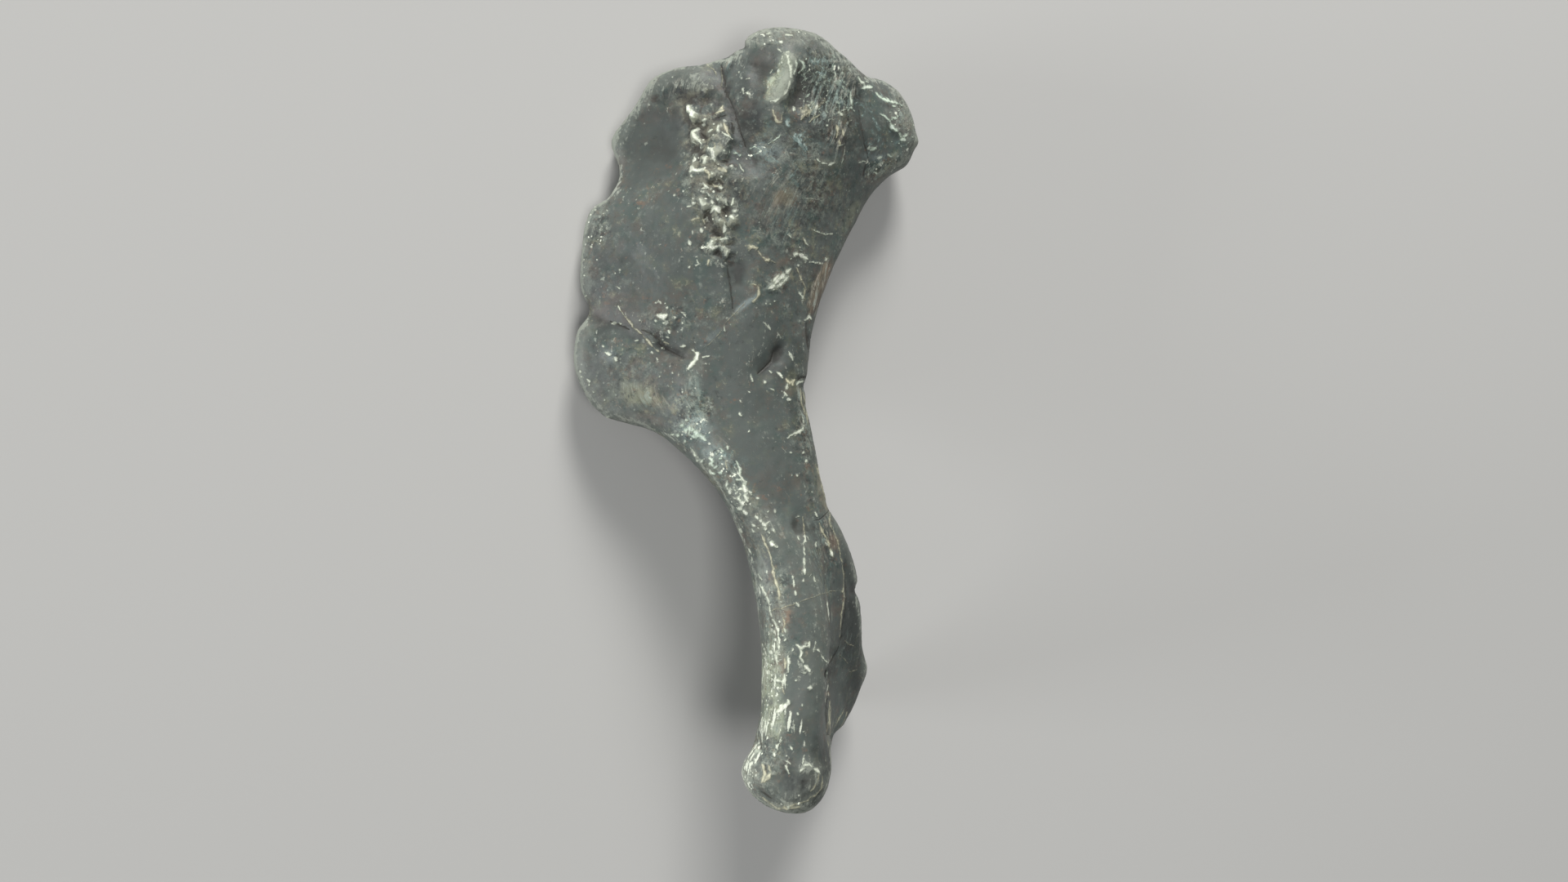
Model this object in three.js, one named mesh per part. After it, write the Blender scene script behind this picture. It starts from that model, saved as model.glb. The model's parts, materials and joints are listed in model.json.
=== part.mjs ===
// A fossil left humerus, the upper arm bone of a small two-legged plant-eating dinosaur.
// The bone is one piece. At the upper end a broad crest with a worn, notched rim stands forward
// from the shaft, and the head and the inner tuberosity turn away from it. The shaft is bowed, and
// the lower end widens again, in the direction of the head, to two condyles.
//
// It is drawn upright: x to the right, y up the bone, z towards the reader, in millimetres, with
// the crest to the left. At the end it is laid down on its inner side, with z up.
import * as THREE from "three";
import { mergeVertices } from "three/addons/utils/BufferGeometryUtils.js";

const { clamp, lerp, smoothstep, degToRad, seededRandom } = THREE.MathUtils;

// The bone is thick round a curved sheet. These are the sheet's four edges, as points [x, y, z].
// The crest edge runs down the worn rim of the crest, with its two notches, and the front of the
// shaft to the near condyle.
const CREST_EDGE = [
  [-28, 76.8, -10], [-29.5, 74.7, -10.5], [-31.6, 71.2, -11], [-34.2, 67.9, -11.5],
  [-36.2, 65.6, -12], [-36.7, 63.8, -12], [-36.3, 61.9, -12], [-35.2, 59.8, -12],
  [-34.5, 57.3, -12], [-34.7, 55, -12], [-35.6, 53.3, -12], [-37.8, 51.5, -12],
  [-39.9, 50.3, -12], [-41.2, 48.9, -12], [-41.9, 46.6, -12], [-42.4, 42.2, -12],
  [-42.9, 37, -12], [-43, 34, -12], [-42.6, 32, -12], [-41.4, 30.2, -12], [-40.2, 28.1, -12],
  [-40.6, 26.4, -12], [-42.2, 25, -12], [-43.6, 23.7, -12], [-43.8, 21.5, -12],
  [-44.5, 17.6, -12], [-44, 14.6, -12], [-43, 11.8, -12], [-41.4, 9, -12],
  [-39.2, 6.3, -11.8], [-37.8, 5, -11.5], [-35.2, 4.2, -11.5], [-31.5, 3.2, -11],
  [-27.4, 1.7, -10.6], [-23.6, -0.6, -10.2], [-19.4, -4.4, -9.2], [-15.3, -9, -8],
  [-9.2, -17.5, -5], [-3, -27, -1], [0, -38, 2], [0.6, -50, 3.5], [-1, -59.5, 4],
  [-6.6, -67, 4],
];
// The inner edge runs from the inner tuberosity down the back of the shaft to the far condyle.
const INNER_EDGE = [
  [25.8, 78.2, -27], [28, 73.4, -28.5], [28.8, 68.4, -29], [27, 63.6, -29], [22, 60, -28],
  [17.4, 55.5, -27], [13.6, 49, -26], [9.4, 40, -23], [6.2, 31, -20], [4.4, 22, -18],
  [3.8, 12.5, -17], [4.2, 4, -16], [6.2, -8, -16], [10, -17, -18], [14, -27, -23],
  [15.6, -38, -28], [15.6, -48, -33], [14.8, -56, -38], [10, -62.6, -40],
];
// The top edge goes from the crest over the head to the inner tuberosity.
const TOP_EDGE = [
  [-28, 76.8, -10], [-22.6, 79.4, -9.5], [-17, 80.8, -9], [-12.2, 81.2, -8.5], [-8.8, 82.4, -8],
  [-7.4, 86.4, -8], [-3.6, 88.4, -9], [1.8, 88.2, -11], [8.6, 85.2, -15], [13, 81.8, -19],
  [17, 81.2, -23], [22.2, 81, -25.5], [25.8, 78.2, -27],
];
// The bottom edge goes round the near condyle, over the groove and round the far condyle.
const BOTTOM_EDGE = [
  [-6.6, -67, 4], [-4.6, -75, 2], [1.6, -77, -4], [4.6, -73, -17], [7, -70.6, -30],
  [10, -62.6, -40],
];
const TOP_REACH = 0.42; // share of the length over which the top edge shapes the sheet
const BOTTOM_REACH = 0.12; // the same for the bottom edge

const RIM_SMOOTHING = 10; // either way along the crest edge, to even it out for the rows inside
const EVEN_STEPS = 8; // points of the edge that are averaged either way
const RIM_REACH = 10; // how far in from the rim its notches still bend the rows

// Down the bone from level 0 at the top edge to 1 at the bottom: [level, bow of the sheet, half
// thickness at the crest edge, in the core and at the inner edge, place of the core across,
// bluntness of the crest edge]. A bluntness of 2 rounds a rim as an ellipse, and more is squarer.
const BUILD = [
  [0, 0, 3.4, 8.6, 6, 0.6, 3],
  [0.1, 7, 3.2, 8.4, 6.4, 0.62, 3.2],
  [0.2, 12, 3.2, 8, 6, 0.66, 3.2],
  [0.3, 11, 3.4, 7.8, 6, 0.7, 3.2],
  [0.4, 8, 3.8, 8, 6.5, 0.72, 3],
  [0.5, 5, 4.6, 8.2, 7, 0.62, 2.6],
  [0.6, 2.4, 6.6, 8.6, 7.5, 0.52, 2.2],
  [0.7, 0.4, 8.7, 6.6, 5.8, 0.55, 2.1],
  [0.8, -1.4, 8.3, 4.6, 4.8, 0.6, 2.1],
  [0.9, -2, 7.4, 3.6, 5.6, 0.6, 2.1],
  [0.945, -1.6, 7.3, 4, 6.2, 0.58, 2.1],
  [1, 0, 12.6, 5.2, 6.8, 0.55, 2.1],
];
const EDGE_ZONE = 0.08; // share of the width at each edge that keeps the edge's half thickness
const INNER_BLUNTNESS = 2;
const TOP_BLUNTNESS = 2.6;
const BOTTOM_BLUNTNESS = 2.6;

// Bumps and hollows of the outer face, seen from the front: [x, y, radius, height].
const FRONT_SWELLINGS = [
  [-5.8, 76.4, 6, -1.4], [5.6, 70.6, 8, -1.3], [-25.7, 62, 10, -1], [-5, 59.5, 6.5, -0.9],
  [-31.5, 37.4, 3, -1], [-30.7, 15.5, 7, -0.7], [3.3, -18.4, 3, -1.1], [22.5, 71.5, 8, 1.2],
  [15.8, 71, 5.5, -0.9], [0.8, -68, 5, -0.6],
];
// Ridges and grooves of the outer face: [height, half width, ...points].
const FRONT_LINES = [
  [1.6, 4, [0.3, 80], [1.3, 75.5], [-0.6, 69.5]], // ridge below the head
  [-1.8, 5, [-13.8, 77], [-11.4, 70.6], [-9, 63], [-7.4, 57]], // groove beside the head
  [0.8, 5, [-17, 74], [-14.4, 65]], // lip of the crest along that groove
  [0.6, 5, [-27, 71.6], [-18, 74.2]], // upper rim of the crest
  [-1.2, 2.8, [-40, 26], [-33.2, 23], [-26.6, 18.8], [-18.6, 17.3]], // crack into the crest
  [-1.5, 2.8, [-4.4, 14.4], [-0.6, 19]], // chip on the shaft
  [-1, 3, [-10.8, 34], [-10, 26.6]], // crack beside the scar
  [-0.8, 2.6, [2.5, -16.8], [10, -14.4]], // step across the shaft
  [0.9, 6, [-18.3, 19], [-19, 4], [-11, -6.7], [-3.4, -19], [-1, -32]], // ridge of the crest's foot
  [0.6, 4, [-1.2, -36], [-1, -48], [-2.6, -60]], // front corner of the lower shaft
  [0.6, 3.2, [4.2, -64], [7.2, -67.4], [6.8, -72], [3.6, -75]], // rim of the near condyle
];
// The crusted muscle scar down the middle of the outer face, and the size of its lumps.
const SCAR = [[-19, 69], [-16.6, 57], [-13.4, 47], [-12.2, 38]];
const SCAR_LUMPS = 26;
const SCAR_HALF_WIDTH = 4.4;
const LUMP_RADIUS = 3.2;
const LUMP_HEIGHT = 1.5;
// Bumps and hollows of the inner face, which the bone lies on, in the same coordinates.
const BACK_SWELLINGS = [
  [-10, 44, 17, -2.2], [-27, 24, 9, -0.8], [-30, 60, 8, -0.7], [14, 70, 8, -1.2], [-6, 12, 8, 0.9],
  [22, 66, 6, 0.8],
];
const BACK_LINES = [
  [0.9, 5, [-37, 58], [-39, 40], [-40, 22]], // thickened rim of the crest
  [1, 6, [-14, 4], [-6, -10], [-4, -24]], // foot of the crest
  [-0.8, 3, [-24, 71], [-18, 60]], // crack behind the upper corner
];

// How the bone lies: turned on its long axis, then tipped end for end.
const ROLL = degToRad(-17.6);
const TIP = degToRad(-4.85);

// Where the relief fades out as a face turns over to the other, by how far it faces the reader.
const FACING_NONE = 0.2;
const FACING_FULL = 0.7;

// Rows of facets, from end to end. The wide upper half of the bone has twice as many facets
// across each face as the slender lower half.
const END_ZONE = 0.045; // share of the length at each end where the rows follow the rounding
const WAIST = 0.52; // where the upper half ends, as a share of the length
const END_ROWS = 6;
const UPPER_ROWS = 38;
const LOWER_ROWS = 28;
const ACROSS = 20; // facets across each face in the lower half
const SPINE_STEPS = 60; // points that each row is worked out at before it is spaced
const CLOSER_AT_RIMS = 0.3; // by what share facets are narrower at the rims than in even rows
const WELD = 1e-3;

const repeat = (count, make) => Array.from({ length: count }, (_, i) => make(i));
const asPoint = ([x, y, z = 0]) => new THREE.Vector3(x, y, z);
const curveThrough = (rows) => new THREE.CatmullRomCurve3(rows.map(asPoint));
const crestEdge = curveThrough(CREST_EDGE);
const innerEdge = curveThrough(INNER_EDGE);
const topEdge = curveThrough(TOP_EDGE);
const bottomEdge = curveThrough(BOTTOM_EDGE);
const length = crestEdge.getLength();
const buildAt = new THREE.CubicInterpolant(
  BUILD.map((row) => row[0]),
  BUILD.flatMap((row) => row.slice(1)),
  BUILD[0].length - 1,
);

// A soft bump: 1 in the middle, 0 from a distance of 1 outwards.
const bell = (distance) => (Math.abs(distance) < 1 ? (1 - distance ** 2) ** 2 : 0);

// A rounded rim: 0 at the edge, 1 from the given depth inwards.
function rounded(distance, depth, bluntness) {
  const inward = Math.min(1, distance / depth);
  return (1 - (1 - inward) ** bluntness) ** (1 / bluntness);
}

// The crest edge without its notches: the mean of a stretch of it.
function evenCrest(level) {
  const stretch = repeat(2 * EVEN_STEPS + 1, (i) => {
    const shift = ((i / EVEN_STEPS - 1) * RIM_SMOOTHING) / length;
    return crestEdge.getPointAt(clamp(level + shift, 0, 1));
  });
  const sum = stretch.reduce((total, point) => total.add(point), new THREE.Vector3());
  return sum.divideScalar(stretch.length);
}

// A point of the sheet: on the straight line from the evened crest edge to the inner edge, bent
// near the ends to the shape of the top and bottom edges, bowed outwards, and notched at the rim.
function sheetPoint(across, level, bow) {
  const crest = evenCrest(level);
  const inner = innerEdge.getPointAt(level);
  const chord = inner.clone().sub(crest);
  const point = crest.clone().lerp(inner, across);
  const ends = [[topEdge, 1 - level / TOP_REACH], [bottomEdge, 1 - (1 - level) / BOTTOM_REACH]];
  for (const [edge, nearness] of ends) {
    const straight = edge.getPointAt(0).lerp(edge.getPointAt(1), across);
    point.addScaledVector(edge.getPointAt(across).sub(straight), Math.max(0, nearness) ** 2);
  }
  const outward = new THREE.Vector3(-chord.z, 0, chord.x).normalize();
  point.addScaledVector(outward, bow * 4 * across * (1 - across));
  const fade = Math.max(0, 1 - (across * chord.length()) / RIM_REACH);
  return point.addScaledVector(crestEdge.getPointAt(level).sub(crest), fade);
}

// The outer and the inner face of one row, as points from edge to edge, closer at the rims.
function facesAt(level) {
  const [bow, crestHalf, coreHalf, innerHalf, core, crestBluntness] = buildAt.evaluate(level);
  const spine = repeat(SPINE_STEPS + 1, (i) =>
    sheetPoint((1 - Math.cos((Math.PI * i) / SPINE_STEPS)) / 2, level, bow));
  const travelled = [0];
  for (let i = 1; i <= SPINE_STEPS; i++) {
    travelled.push(travelled[i - 1] + spine[i].distanceTo(spine[i - 1]));
  }
  const width = travelled[SPINE_STEPS];
  const faces = [[], []];
  spine.forEach((point, i) => {
    const share = travelled[i] / width;
    const half = share < core
      ? lerp(crestHalf, coreHalf, smoothstep(share, EDGE_ZONE, core))
      : lerp(coreHalf, innerHalf, smoothstep(share, core, 1 - EDGE_ZONE));
    const rise = half * rounded(travelled[i], half, crestBluntness)
      * rounded(width - travelled[i], half, INNER_BLUNTNESS)
      * rounded(level * length, half, TOP_BLUNTNESS)
      * rounded((1 - level) * length, half, BOTTOM_BLUNTNESS);
    const before = spine[Math.max(0, i - 1)];
    const after = spine[Math.min(SPINE_STEPS, i + 1)];
    const outward = new THREE.Vector3(before.z - after.z, 0, after.x - before.x).normalize();
    faces[0].push(point.clone().addScaledVector(outward, rise));
    faces[1].push(point.clone().addScaledVector(outward, -rise));
  });
  const across = level < WAIST ? 2 * ACROSS : ACROSS;
  const places = repeat(across + 1, (i) => i / across).map((share) =>
    share - (CLOSER_AT_RIMS * Math.sin(2 * Math.PI * share)) / (2 * Math.PI));
  return faces.map((face) => {
    const curve = new THREE.CatmullRomCurve3(face);
    return places.map((place) => curve.getPointAt(place));
  });
}

// Levels of the rows.
function rowLevels() {
  const end = repeat(END_ROWS, (i) => END_ZONE * (1 - Math.cos((Math.PI / 2) * (i / END_ROWS))));
  const upper = repeat(UPPER_ROWS, (i) => lerp(END_ZONE, WAIST, i / UPPER_ROWS));
  const lower = repeat(LOWER_ROWS + 1, (i) => lerp(WAIST, 1 - END_ZONE, i / LOWER_ROWS));
  return [...end, ...upper, ...lower, ...end.map((level) => 1 - level).reverse()];
}

// The facets between two rows of a face, as corners three by three. Each cell is split from the
// bone's own corner nearest to it, so that the two faces never share a facet there.
function strip(upper, lower, nearTop) {
  const step = (upper.length - 1) / (lower.length - 1);
  const corners = [];
  for (let j = 0; j < lower.length - 1; j++) {
    const a = upper[j * step];
    const b = upper[(j + 1) * step];
    const [d, c] = [lower[j], lower[j + 1]];
    const middle = upper[j * step + 1];
    if (step === 2) corners.push(a, d, middle, middle, d, c, middle, c, b);
    else if (nearTop === j < lower.length / 2) corners.push(a, d, c, a, c, b);
    else corners.push(a, d, b, b, d, c);
  }
  return corners;
}

// The smooth bone: both faces as rows of points that share the four edges.
function smoothBone() {
  const levels = rowLevels();
  const rows = levels.map(facesAt);
  const corners = [];
  for (let i = 0; i < rows.length - 1; i++) {
    const nearTop = levels[i] < WAIST;
    corners.push(...strip(rows[i][0], rows[i + 1][0], nearTop));
    corners.push(...strip(rows[i][1], rows[i + 1][1], nearTop).reverse());
  }
  const geometry = mergeVertices(new THREE.BufferGeometry().setFromPoints(corners), WELD);
  geometry.computeVertexNormals();
  return geometry;
}

// Distance from a point to a chain of straight stretches.
function distanceTo(chain, point) {
  const nearest = new THREE.Vector3();
  const gaps = chain.slice(1).map((end, i) => {
    new THREE.Line3(asPoint(chain[i]), asPoint(end)).closestPointToPoint(point, true, nearest);
    return nearest.distanceTo(point);
  });
  return Math.min(...gaps);
}

// The lumps of the scar, scattered along it as swellings.
const scarLine = curveThrough(SCAR);
const lumps = repeat(SCAR_LUMPS, (i) => {
  const [size, rise, aside, along] = repeat(4, (n) => seededRandom(4 * i + n + 1));
  const middle = scarLine.getPoint((i + along) / SCAR_LUMPS);
  const x = middle.x + SCAR_HALF_WIDTH * (2 * aside - 1);
  return [x, middle.y, LUMP_RADIUS * (0.7 + 0.6 * size), LUMP_HEIGHT * (rise - 0.35)];
});

// How far the face stands out or in at a point, by its swellings and lines.
function relief(point, swellings, lines) {
  const flat = asPoint([point.x, point.y]);
  let height = 0;
  for (const [x, y, radius, rise] of swellings) {
    height += rise * bell(flat.distanceTo(asPoint([x, y])) / radius);
  }
  for (const [rise, halfWidth, ...chain] of lines) {
    height += rise * bell(distanceTo(chain, flat) / halfWidth);
  }
  return height;
}

// The smooth bone with its relief. The relief fades out where a face turns over to the other.
function boneGeometry() {
  const geometry = smoothBone();
  const { position, normal } = geometry.attributes;
  const point = new THREE.Vector3();
  const outward = new THREE.Vector3();
  for (let i = 0; i < position.count; i++) {
    point.fromBufferAttribute(position, i);
    outward.fromBufferAttribute(normal, i);
    const height = outward.z > 0
      ? relief(point, [...FRONT_SWELLINGS, ...lumps], FRONT_LINES)
      : relief(point, BACK_SWELLINGS, BACK_LINES);
    const facing = smoothstep(Math.abs(outward.z), FACING_NONE, FACING_FULL);
    point.addScaledVector(outward, height * facing);
    position.setXYZ(i, ...point);
  }
  geometry.computeVertexNormals();
  return geometry;
}

// Laid down, with the origin under the middle of the bone on the surface that it lies on.
function layDown(geometry) {
  geometry.rotateY(ROLL);
  geometry.rotateX(TIP);
  geometry.computeBoundingBox();
  const { min, max } = geometry.boundingBox;
  return geometry.translate(-(min.x + max.x) / 2, -(min.y + max.y) / 2, -min.z);
}

const fossilBone = new THREE.MeshStandardMaterial({ color: 0x4d5350, roughness: 0.42, metalness: 0 });
const humerus = new THREE.Mesh(layDown(boneGeometry()), fossilBone);
humerus.name = "humerus";

const bone = new THREE.Group();
bone.add(humerus);

export default bone;
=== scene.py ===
# A fossil left humerus of a small plant-eating dinosaur, lying on its inner side on a pale floor.
import json
from math import radians

import bpy
import numpy as np
from mathutils import Matrix, Vector, noise
from mathutils.bvhtree import BVHTree

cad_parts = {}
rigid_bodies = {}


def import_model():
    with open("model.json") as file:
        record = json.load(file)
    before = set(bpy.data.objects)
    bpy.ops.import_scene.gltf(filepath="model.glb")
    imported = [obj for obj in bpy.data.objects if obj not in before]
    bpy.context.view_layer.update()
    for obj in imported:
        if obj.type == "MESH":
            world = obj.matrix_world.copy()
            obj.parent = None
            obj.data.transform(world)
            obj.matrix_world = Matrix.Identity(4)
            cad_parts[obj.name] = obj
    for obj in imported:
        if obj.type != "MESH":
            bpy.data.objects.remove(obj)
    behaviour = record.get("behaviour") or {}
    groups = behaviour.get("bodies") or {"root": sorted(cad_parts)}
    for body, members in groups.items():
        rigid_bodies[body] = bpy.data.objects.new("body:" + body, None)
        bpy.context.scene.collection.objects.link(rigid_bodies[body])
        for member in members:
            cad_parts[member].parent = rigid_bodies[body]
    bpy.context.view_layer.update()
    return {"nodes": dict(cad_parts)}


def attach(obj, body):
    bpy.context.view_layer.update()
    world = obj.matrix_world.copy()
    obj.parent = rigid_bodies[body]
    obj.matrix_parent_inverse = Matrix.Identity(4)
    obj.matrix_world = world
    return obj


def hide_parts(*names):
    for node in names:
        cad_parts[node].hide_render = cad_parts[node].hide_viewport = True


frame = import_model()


# The camera looks down on the outer side of the bone. The bone is drawn upright in millimetres,
# x to the right, y up the bone and z towards the camera, and is then laid down: it is turned on its
# long axis, tipped end for end and set on the floor, and the camera goes with it.
MM = 0.001
ROLL = radians(-17.6)
TIP = radians(-4.85)
SETTING_DOWN = Vector((1.793, -5.381, 30.089)) * MM
PICTURE_WIDTH, PICTURE_HEIGHT = 1920, 1080
FOCAL_LENGTH = 1304  # in pixels of the picture
CAMERA_DISTANCE = 217.3  # mm in front of the drawing's plane
SENSOR_WIDTH = 36  # mm
CLIP_START = 10 * MM
laid_down = (Matrix.Translation(SETTING_DOWN)
             @ Matrix.Rotation(TIP, 4, "X") @ Matrix.Rotation(ROLL, 4, "Y"))
bpy.ops.object.camera_add()
camera = bpy.context.object
camera.name = "camera"
camera.matrix_world = laid_down @ Matrix.Translation((0, 0, CAMERA_DISTANCE * MM))
camera.data.sensor_width = SENSOR_WIDTH
camera.data.lens = SENSOR_WIDTH * FOCAL_LENGTH / PICTURE_WIDTH
camera.data.clip_start = CLIP_START
bpy.context.scene.camera = camera


# A plain pale floor, three soft lamps, one beyond the upper end, one on the crest's side and a
# weak one high in front, and an even pale surround.
FLOOR_SIZE = 6.0  # m
FLOOR_COLOUR = (0.50, 0.495, 0.48, 1)
FLOOR_ROUGHNESS = 0.9
bpy.ops.mesh.primitive_plane_add(size=FLOOR_SIZE)
floor = bpy.context.object
floor.name = "floor"
floor_paint = bpy.data.materials.new("pale floor")
floor_paint.use_nodes = True
floor_shader = floor_paint.node_tree.nodes["Principled BSDF"]
floor_shader.inputs["Base Color"].default_value = FLOOR_COLOUR
floor_shader.inputs["Roughness"].default_value = FLOOR_ROUGHNESS
floor.data.materials.append(floor_paint)


def soft_lamp(name, place, size, watts, colour):
    """A square area lamp of a size in m, at a place of the drawing in mm, turned to the bone."""
    bpy.ops.object.light_add(type="AREA")
    lamp = bpy.context.object
    lamp.name = name
    lamp.data.size = size
    lamp.data.energy = watts
    lamp.data.color = colour
    lamp.location = laid_down @ (Vector(place) * MM)
    lamp.rotation_euler = lamp.location.to_track_quat("Z", "Y").to_euler()


soft_lamp("upper lamp", place=(350, 1500, 760), size=0.50, watts=36, colour=(1, 0.99, 0.97))
soft_lamp("left lamp", place=(-1500, -150, 560), size=0.50, watts=25, colour=(0.98, 0.99, 1))
soft_lamp("front lamp", place=(500, -420, 1500), size=0.60, watts=8.5, colour=(1, 1, 0.98))
SURROUND_COLOUR = (0.9, 0.95, 1, 1)
SURROUND_STRENGTH = 0.18
surround = bpy.data.worlds.new("pale surround")
surround.use_nodes = True
background = surround.node_tree.nodes["Background"]
background.inputs["Color"].default_value = SURROUND_COLOUR
background.inputs["Strength"].default_value = SURROUND_STRENGTH
bpy.context.scene.world = surround
bpy.context.scene.view_settings.view_transform = "Standard"


# The humerus: one piece of dark grey-green mineralised bone. Its solid is copied and its faces are
# made fine and even, and then the marks of the real bone are worked into them: the crusted muscle
# scar, cracks, chips and pits as relief, and veins, crusts and stains as paint, with painted shade
# and painted highlight laid in among them.
WELD = 0.001 * MM
VOXEL = 0.515 * MM
SMOOTHING_ROUNDS = 4
solid = frame["nodes"]["humerus"]
bpy.ops.object.select_all(action="DESELECT")
solid.select_set(True)
bpy.context.view_layer.objects.active = solid
bpy.ops.object.duplicate()
bone = bpy.context.object
bone.name = "fossil_bone"
bpy.ops.object.parent_clear(type="CLEAR_KEEP_TRANSFORM")
bpy.ops.object.mode_set(mode="EDIT")
bpy.ops.mesh.select_all(action="SELECT")
bpy.ops.mesh.remove_doubles(threshold=WELD)
bpy.ops.mesh.tris_convert_to_quads()
bpy.ops.object.mode_set(mode="OBJECT")


def finish_with(kind, **settings):
    """Adds a modifier to the bone and applies it."""
    modifier = bone.modifiers.new(kind.lower(), kind)
    for name, value in settings.items():
        setattr(modifier, name, value)
    bpy.ops.object.modifier_apply(modifier=modifier.name)


finish_with("SUBSURF", levels=1, render_levels=1)
finish_with("REMESH", mode="VOXEL", voxel_size=VOXEL, use_smooth_shade=True)
finish_with("SMOOTH", factor=0.5, iterations=SMOOTHING_ROUNDS)

# Every vertex, in the drawing's millimetres and in pixels of the picture, and how much it faces the
# camera.
count = len(bone.data.vertices)
flat = np.empty(count * 3)
bone.data.vertices.foreach_get("co", flat)
start = flat.reshape(-1, 3).copy()
bone.data.vertices.foreach_get("normal", flat)
outwards = flat.reshape(-1, 3).copy()
turn = np.array(laid_down.to_3x3())
drawn = (start - np.array(laid_down.translation)) @ turn / MM
facing = outwards @ turn[:, 2]
millimetres = (CAMERA_DISTANCE - drawn[:, 2]) / FOCAL_LENGTH  # that one pixel covers
across = PICTURE_WIDTH / 2 + drawn[:, 0] / millimetres
down = PICTURE_HEIGHT / 2 - drawn[:, 1] / millimetres

# The outline's small corners, bumps and chips, as places in the picture that are pulled about:
# pixels across and down, the reach of the pull and the way that the middle of it goes.
PULLS = (
    ((880, 76), 22, (0, -6)), ((899, 70), 9, (3, -4)), ((906, 60), 9, (6, 0)),
    ((1002, 46), 26, (1, -5)), ((1072, 98), 14, (1, -4)), ((1121, 173), 9, (4, 1)),
    ((826, 86), 30, (-1, -3)), ((751, 177), 14, (-2, 0)), ((742, 243), 12, (2, 2)),
    ((800, 533), 26, (0, -3)), ((986, 473), 10, (-5, 0)), ((988, 497), 14, (-3, 0)),
    ((996, 556), 36, (3, 0)), ((1018, 621), 13, (-6, 0)), ((1049, 724), 8, (-5, 0)),
    ((1057, 819), 18, (6, 0)), ((1029, 906), 13, (-4, -6)), ((913, 917), 24, (7, 0)),
    ((929, 866), 34, (4, 0)), ((985, 992), 38, (0, 6)), ((934, 790), 50, (3, 0)),
    ((1102, 196), 12, (2, 2)),
)
slide = np.zeros((count, 2))
for middle, reach, way in PULLS:
    hold = np.exp(-((across - middle[0]) ** 2 + (down - middle[1]) ** 2) / reach ** 2)
    slide += np.outer(hold, way)
drawn[:, 0] += slide[:, 0] * millimetres
drawn[:, 1] -= slide[:, 1] * millimetres
start = drawn * MM @ turn.T + np.array(laid_down.translation)
across += slide[:, 0]
down += slide[:, 1]

# Which vertices the camera sees.
triangles = [tuple(face.vertices) for face in bone.data.polygons]
tree = BVHTree.FromPolygons(start.tolist(), triangles)
eye = camera.matrix_world.translation
to_eye = np.array(eye) - start
seen = np.einsum("ij,ij->i", to_eye, outwards) > 0
LIFT_OFF = 0.4 * MM
for i in np.nonzero(seen)[0]:
    place = Vector(start[i]) + Vector(outwards[i]) * LIFT_OFF
    seen[i] = tree.ray_cast(place, eye - place)[0] is None


SEED_SHIFT = np.array((31.7, -17.3, 9.1))  # a long way off in the noise for each seed


def cloud(size, octaves, seed):
    """Smooth noise between about -1 and 1 at every vertex, with lumps of a size in mm."""
    places = (drawn / size + SEED_SHIFT * seed).tolist()
    return np.array([noise.fractal(Vector(p), 1.0, 2.0, octaves) for p in places])


def step(low, high, value):
    """0 below low and 1 above high, with a smooth rise between."""
    t = np.clip((value - low) / (high - low), 0, 1)
    return t * t * (3 - 2 * t)


# Marks are drawn on two sides: on the outer one in pixels of the picture, on what the camera sees,
# and on the inner one in mm of the drawing, on what faces away. They wander a little from the drawn
# strokes, as natural edges do.
OUTER_WANDER = 1.6  # pixels
INNER_WANDER = 0.4  # mm
FACING_AWAY = 0.15  # less than this of a vertex's normal points to the camera
across += OUTER_WANDER * cloud(4.5, 3, 1)
down += OUTER_WANDER * cloud(4.5, 3, 2)
outer = {"x": across, "y": down, "mm": millimetres, "who": np.nonzero(seen)[0]}
inner = {"x": drawn[:, 0] + INNER_WANDER * cloud(4, 3, 3),
         "y": drawn[:, 1] + INNER_WANDER * cloud(4, 3, 4),
         "mm": np.ones(count), "who": np.nonzero(facing < FACING_AWAY)[0]}

# How the width of thin strokes and the height of raised ones vary from place to place.
uneven = np.clip(1 + 1.2 * cloud(1.6, 2, 5), 0.2, 1.8)
beaded = np.clip(1 + 1.1 * cloud(1.0, 2, 6), 0.3, 1.7)
relief = np.zeros(count)  # mm


def near(side, points, reach):
    """The vertices of one side within reach of a stroke, in mm, how far each is from it, its place
    along it from 0 to 1, and where it lies from the stroke's nearest leg: how far along from the
    leg's middle, how far to the one or the other side, and half the leg's length."""
    points = np.array(points, dtype=float)
    low, high = points.min(0), points.max(0)
    who = side["who"]
    x, y, mm = side["x"][who], side["y"][who], side["mm"][who]
    far = reach / mm
    close = (x > low[0] - far) & (x < high[0] + far) & (y > low[1] - far) & (y < high[1] + far)
    who, x, y, mm = who[close], x[close], y[close], mm[close]
    distance = np.full(len(who), np.inf)
    along = np.zeros(len(who))
    leg_place = np.zeros((len(who), 3))
    legs = max(1, len(points) - 1)
    for leg in range(legs):
        run = points[min(leg + 1, len(points) - 1)] - points[leg]
        length = np.hypot(*run)
        ahead = run / length if length else np.array((1.0, 0.0))
        dx, dy = x - points[leg, 0], y - points[leg, 1]
        forward = dx * ahead[0] + dy * ahead[1]
        aside = dx * ahead[1] - dy * ahead[0]
        on_leg = np.clip(forward, 0, length)
        apart = np.hypot(forward - on_leg, aside)
        nearer = apart < distance
        distance[nearer] = apart[nearer]
        along[nearer] = ((leg + on_leg / max(length, 1e-9)) / legs)[nearer]
        half = np.full(len(who), length / 2)
        leg_place[nearer] = np.stack([forward - half, aside, half], axis=1)[nearer]
    return who, distance * mm, along, leg_place * mm[:, None]


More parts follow.
